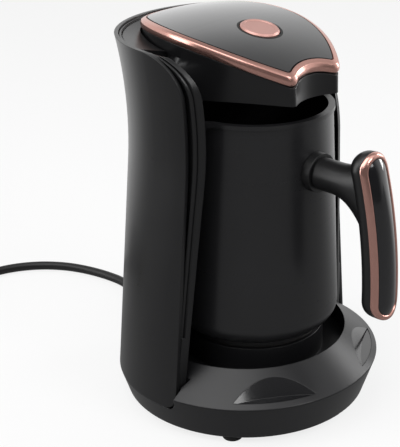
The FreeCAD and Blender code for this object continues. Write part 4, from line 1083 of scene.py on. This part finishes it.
    def build(self) -> None:
        """Dress the pot and the handle."""
        shop, pot = self.shop, Body.POT
        bead, inlay, grip, neck = self.bead(), self.inlay(), self.grip(), self.neck()
        for made in (bead, inlay, grip, neck):
            smooth(made, angle=50.0)
        shop.stand(grip, "handle_body", HANDLE_BLACK, "column_plastic", pot)
        shop.stand(neck, "handle_body", HANDLE_BLACK, "column_plastic", pot)
        shop.stand(bead, "handle_trim", ROSE_TRIM, "rose_metal", pot)
        shop.stand(inlay, "handle_inlay", INLAY_GLOSS, "panel_gloss", pot)
        shop.skin("pot_body", POT_COAT, "pot_coating", pot, angle=34.0)
        shop.skin("pot_collar", HANDLE_BLACK, "column_plastic", pot)
        shop.paint(STEEL, "pot_stud", "handle_screw")


@dataclass
class Lead:
    """The mains lead: one line from the strain relief through the loose run and the tied coil."""

    shop: Workshop
    radius: float = 3.1 * MM
    lift: float = 0.05 * MM
    exit_x: float = 24.0 * MM
    exit_height: float = 12.5 * MM
    relief_tip_y: float = 95.396 * MM
    coil_centre: Tuple[float, float] = (-75.0 * MM, 275.2 * MM)
    coil_mean_radius: float = 34.0 * MM
    coil_turns: float = 3.0
    coil_climb: float = 0.5
    coil_pitch: float = 6.9 * MM
    coil_step: float = 6.8 * MM
    coil_tail: float = 37.0 * MM
    tie_thickness: float = 0.9 * MM
    points_per_turn: int = 16
    length: float = 0.9

    def floor(self) -> float:
        """Height of the line where the lead lies on the table."""
        return self.radius + self.lift

    def coil_radius(self) -> float:
        """Radius of the coil's outermost turn."""
        return self.coil_mean_radius + self.coil_pitch * self.coil_turns / 4

    def loose_run(self) -> np.ndarray:
        """The loose run's points, from the strain relief to the coil.

        Returns:
            Rows of X, Y and Z, still about the base's centre.
        """
        tip, level = self.relief_tip_y, self.exit_height
        floor, front = self.floor(), self.coil_centre[1] - self.coil_radius()
        x, coil_floor = self.exit_x, self.floor() + self.tie_thickness
        return np.array([
            (x, tip, level), (x, tip + 14 * MM, level),
            (x + 2.5 * MM, tip + 29 * MM, floor + 3.5 * MM), (x + 7.5 * MM, tip + 43 * MM, floor),
            (0.0355, 0.155, floor), (0.0345, 0.171, floor), (0.031, 0.188, floor),
            (0.024, 0.206, floor), (0.011, 0.2225, floor), (-0.007, 0.234, floor),
            (-0.028, 0.2384, floor),
            (-0.049, front, coil_floor), (self.coil_centre[0] + 2 * self.radius, front, coil_floor),
        ])

    def coil_run(self) -> np.ndarray:
        """The coil's points: the radius falls by one pitch a turn and grows again, one layer up.

        Returns:
            Rows of X, Y and Z, still about the base's centre.
        """
        count = int(self.coil_turns * self.points_per_turn)
        turn = np.linspace(0.0, self.coil_turns, count + 1)
        half = self.coil_turns / 2
        radius = self.coil_radius() - self.coil_pitch * (half - np.abs(half - turn))
        radius = radius / np.cos(math.pi / self.points_per_turn) ** 0.5
        rise = np.clip((turn - half) / self.coil_climb + 0.5, 0.0, 1.0)
        height = self.floor() + self.tie_thickness + self.coil_step * rise * rise * (3 - 2 * rise)
        angle = -2 * math.pi * (turn + 0.25)
        loops = np.stack([self.coil_centre[0] + radius * np.cos(angle),
                          self.coil_centre[1] + radius * np.sin(angle), height], axis=1)
        loops[0, 1] = loops[-1, 1] = self.coil_centre[1] - self.coil_radius()
        tail = loops[-1] - np.array([[self.coil_tail * 0.5, 0, 0], [self.coil_tail, 0, 0]])
        return np.concatenate([loops, tail])

    def build(self) -> None:
        """Make the lead as one curve and dress what is on it."""
        route = np.concatenate([self.loose_run(), self.coil_run()])
        route[:, 1] += FRAME_SHIFT
        curve = bpy.data.curves.new("mains_lead", "CURVE")
        curve.dimensions = "3D"
        curve.bevel_depth = self.radius
        curve.bevel_resolution = 6
        curve.resolution_u = 6
        curve.use_fill_caps = True
        spline = curve.splines.new("NURBS")
        spline.points.add(len(route) - 1)
        weighted = np.concatenate([route, np.ones((len(route), 1))], axis=1)
        spline.points.foreach_set("co", weighted.ravel())
        spline.order_u = 3
        spline.use_endpoint_u = True
        made = linked("mains_lead", curve)
        curve.materials.append(self.shop.finish(CORD_SHEATH))
        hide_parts("power_cord", "cord_coil")
        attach(made, Body.MACHINE.value)
        relief = self.shop.skin("strain_relief", RUBBER, "rubber")
        tie = self.shop.skin("cord_tie", COLUMN_BLACK, "column_plastic")
        plug = self.shop.skin("plug_body", CORD_SHEATH, "cord_rubber")
        pins = self.shop.skin("plug_pins", PLATED_BRASS, "brass")
        log.info("the lead has %d points", len(route))


@dataclass
class Studio:
    """The pale floor, the lamps and the camera.

    The focal length and the frame (long_side, wide, principal_x) are in the photograph's pixels.
    """

    target: Point = (1.77 * MM, -1.90 * MM + FRAME_SHIFT, 104.9 * MM)
    azimuth: float = -47.0
    elevation: float = 23.05
    distance: float = 0.6904
    focal: float = 1174.6
    long_side: float = 447.0
    principal_x: float = 250.0
    wide: float = 400.0
    sensor: float = 36.0
    floor_half: float = 6.0
    floor_colour: Colour = (0.86, 0.86, 0.86)
    floor_white: float = 0.8
    fill: float = 0.45
    room_level: float = 0.1
    zenith_level: float = 0.3
    overhead_level: float = 1.1
    floor_front_level: float = 0.3

    def backdrop(self) -> None:
        """A pale floor that shows as near white and keeps the object's shadow.

        In reflections it is bright behind the machine and dimmer in front.
        """
        vertices = np.array([[-1, -1, 0], [1, -1, 0], [1, 1, 0], [-1, 1, 0]]) * self.floor_half
        floor = object_from("floor", vertices, np.array([[0, 1, 2, 3]]))
        material = bpy.data.materials.new("pale_floor")
        graph = Graph(material)
        plain = graph.node("BsdfDiffuse", {}, {"Color": self.floor_colour})
        seen = graph.node("LightPath", output="Is Camera Ray")
        glossy = graph.node("LightPath", output="Is Glossy Ray")
        toward = graph.axis("X") * TOWARD_CAMERA[0] + graph.axis("Y") * TOWARD_CAMERA[1]
        shown = 1.0 - toward.step(-0.4, -0.05) * (1.0 - self.floor_front_level)
        light = 1.0 - glossy * (1.0 - shown)
        bright = graph.node("Emission", {}, {"Color": WHITE, "Strength": light})
        either = (seen * self.floor_white + glossy).clamped()
        mixed = graph.node("MixShader", {}, {0: either, 1: plain, 2: bright})
        graph.node("OutputMaterial", {}, {"Surface": mixed})
        dress(floor, material)

    def world(self) -> None:
        """A surround that is white for the camera and a soft plain fill for diffuse light.

        In reflections it is bright behind the machine and overhead, and dark in front.
        """
        world = bpy.data.worlds.new("studio")
        bpy.context.scene.world = world
        graph = Graph(world)
        seen = graph.node("LightPath", output="Is Camera Ray")
        glossy = graph.node("LightPath", output="Is Glossy Ray")
        way = graph.node("TexCoord", output="Generated")
        across, along, up = (graph.node("SeparateXYZ", {}, {"Vector": way}, output=name)
                             for name in "XYZ")
        front = across * TOWARD_CAMERA[0] + along * TOWARD_CAMERA[1]
        behind = 1.0 - front.step(-0.15, 0.5)
        behind = behind * (1.0 - up.step(0.45, 0.85) * (1.0 - self.zenith_level))
        overhead = front.step(-0.3, 0.1) * up.step(0.55, 0.75) * self.overhead_level
        reflected = self.room_level + behind * (1.0 - self.room_level) + overhead
        strength = self.fill + seen * (1.0 - self.fill) + glossy * (reflected - self.fill)
        background = graph.node("Background", {}, {"Color": WHITE, "Strength": strength})
        graph.node("OutputWorld", {}, {"Surface": background})

    def lamp(self, name: str, place: Point, aim: Point, size: Tuple[float, float],
             power: float) -> None:
        """A soft box.

        Args:
            name: the lamp's name.
            place: where it stands.
            aim: what it points at.
            size: its width and height in metres.
            power: its power in watts.
        """
        light = bpy.data.lights.new(name, "AREA")
        light.shape = "RECTANGLE"
        light.size, light.size_y = size
        light.energy = power
        made = linked(name, light)
        made.location = place
        made.rotation_euler = look_along(np.array(aim) - np.array(place))

    def camera(self) -> None:
        """The camera at the photograph's angle, with its frame shifted as the photograph is cut."""
        azimuth, elevation = math.radians(self.azimuth), math.radians(self.elevation)
        level = math.cos(elevation)
        toward = np.array([math.sin(azimuth) * level, -math.cos(azimuth) * level,
                           math.sin(elevation)])
        place = np.array(self.target) + toward * self.distance
        data = bpy.data.cameras.new("camera")
        data.sensor_width = self.sensor
        data.lens = self.focal / self.long_side * self.sensor
        data.shift_x = (self.wide / 2 - self.principal_x) / self.long_side
        data.clip_start = 0.01
        data.clip_end = 50.0
        made = linked("camera", data)
        made.location = place
        made.rotation_euler = look_along(-toward)
        bpy.context.scene.camera = made

    def build(self) -> None:
        """Set up the whole studio."""
        self.camera()
        self.backdrop()
        self.world()
        self.lamp("left_box", (-0.95, 0.75, 0.55), aim=(0, 0, 0.12), size=(0.5, 1.1), power=6.0)
        self.lamp("right_box", (1.03, -0.37, 0.45), aim=(0, 0, 0.12), size=(0.3, 0.6), power=4.0)
        self.lamp("key_box", (0.03, -0.95, 0.8), aim=(0, 0, 0.04), size=(0.42, 0.45), power=3.2)
        self.lamp("high_box", (-0.55, 0.0, 1.1), aim=(0, 0, 0.15), size=(0.9, 1.1), power=7.0)
        bpy.context.scene.view_settings.view_transform = "Standard"


def look_along(direction: np.ndarray) -> Tuple[float, float, float]:
    """Angles that turn a camera or lamp to look along a direction, with its top upwards.

    Args:
        direction: the way to look.

    Returns:
        Euler angles in radians.
    """
    x, y, z = direction / np.linalg.norm(direction)
    return math.pi / 2 + math.asin(z), 0.0, math.atan2(-x, y)


def main() -> None:
    """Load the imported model, dress it and set up the studio."""
    logging.basicConfig(level=logging.INFO)
    for made in list(bpy.data.objects):
        bpy.data.objects.remove(made)
    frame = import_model()
    shop = Workshop(frame["nodes"])
    Studio().build()
    Lead(shop).build()
    for assembly in (Base(shop), Tower(shop), Head(shop), Pot(shop)):
        assembly.build()
        log.info("%s is dressed", type(assembly).__name__)
    log.info("sizes written")


if __name__ == "__main__":
    main()
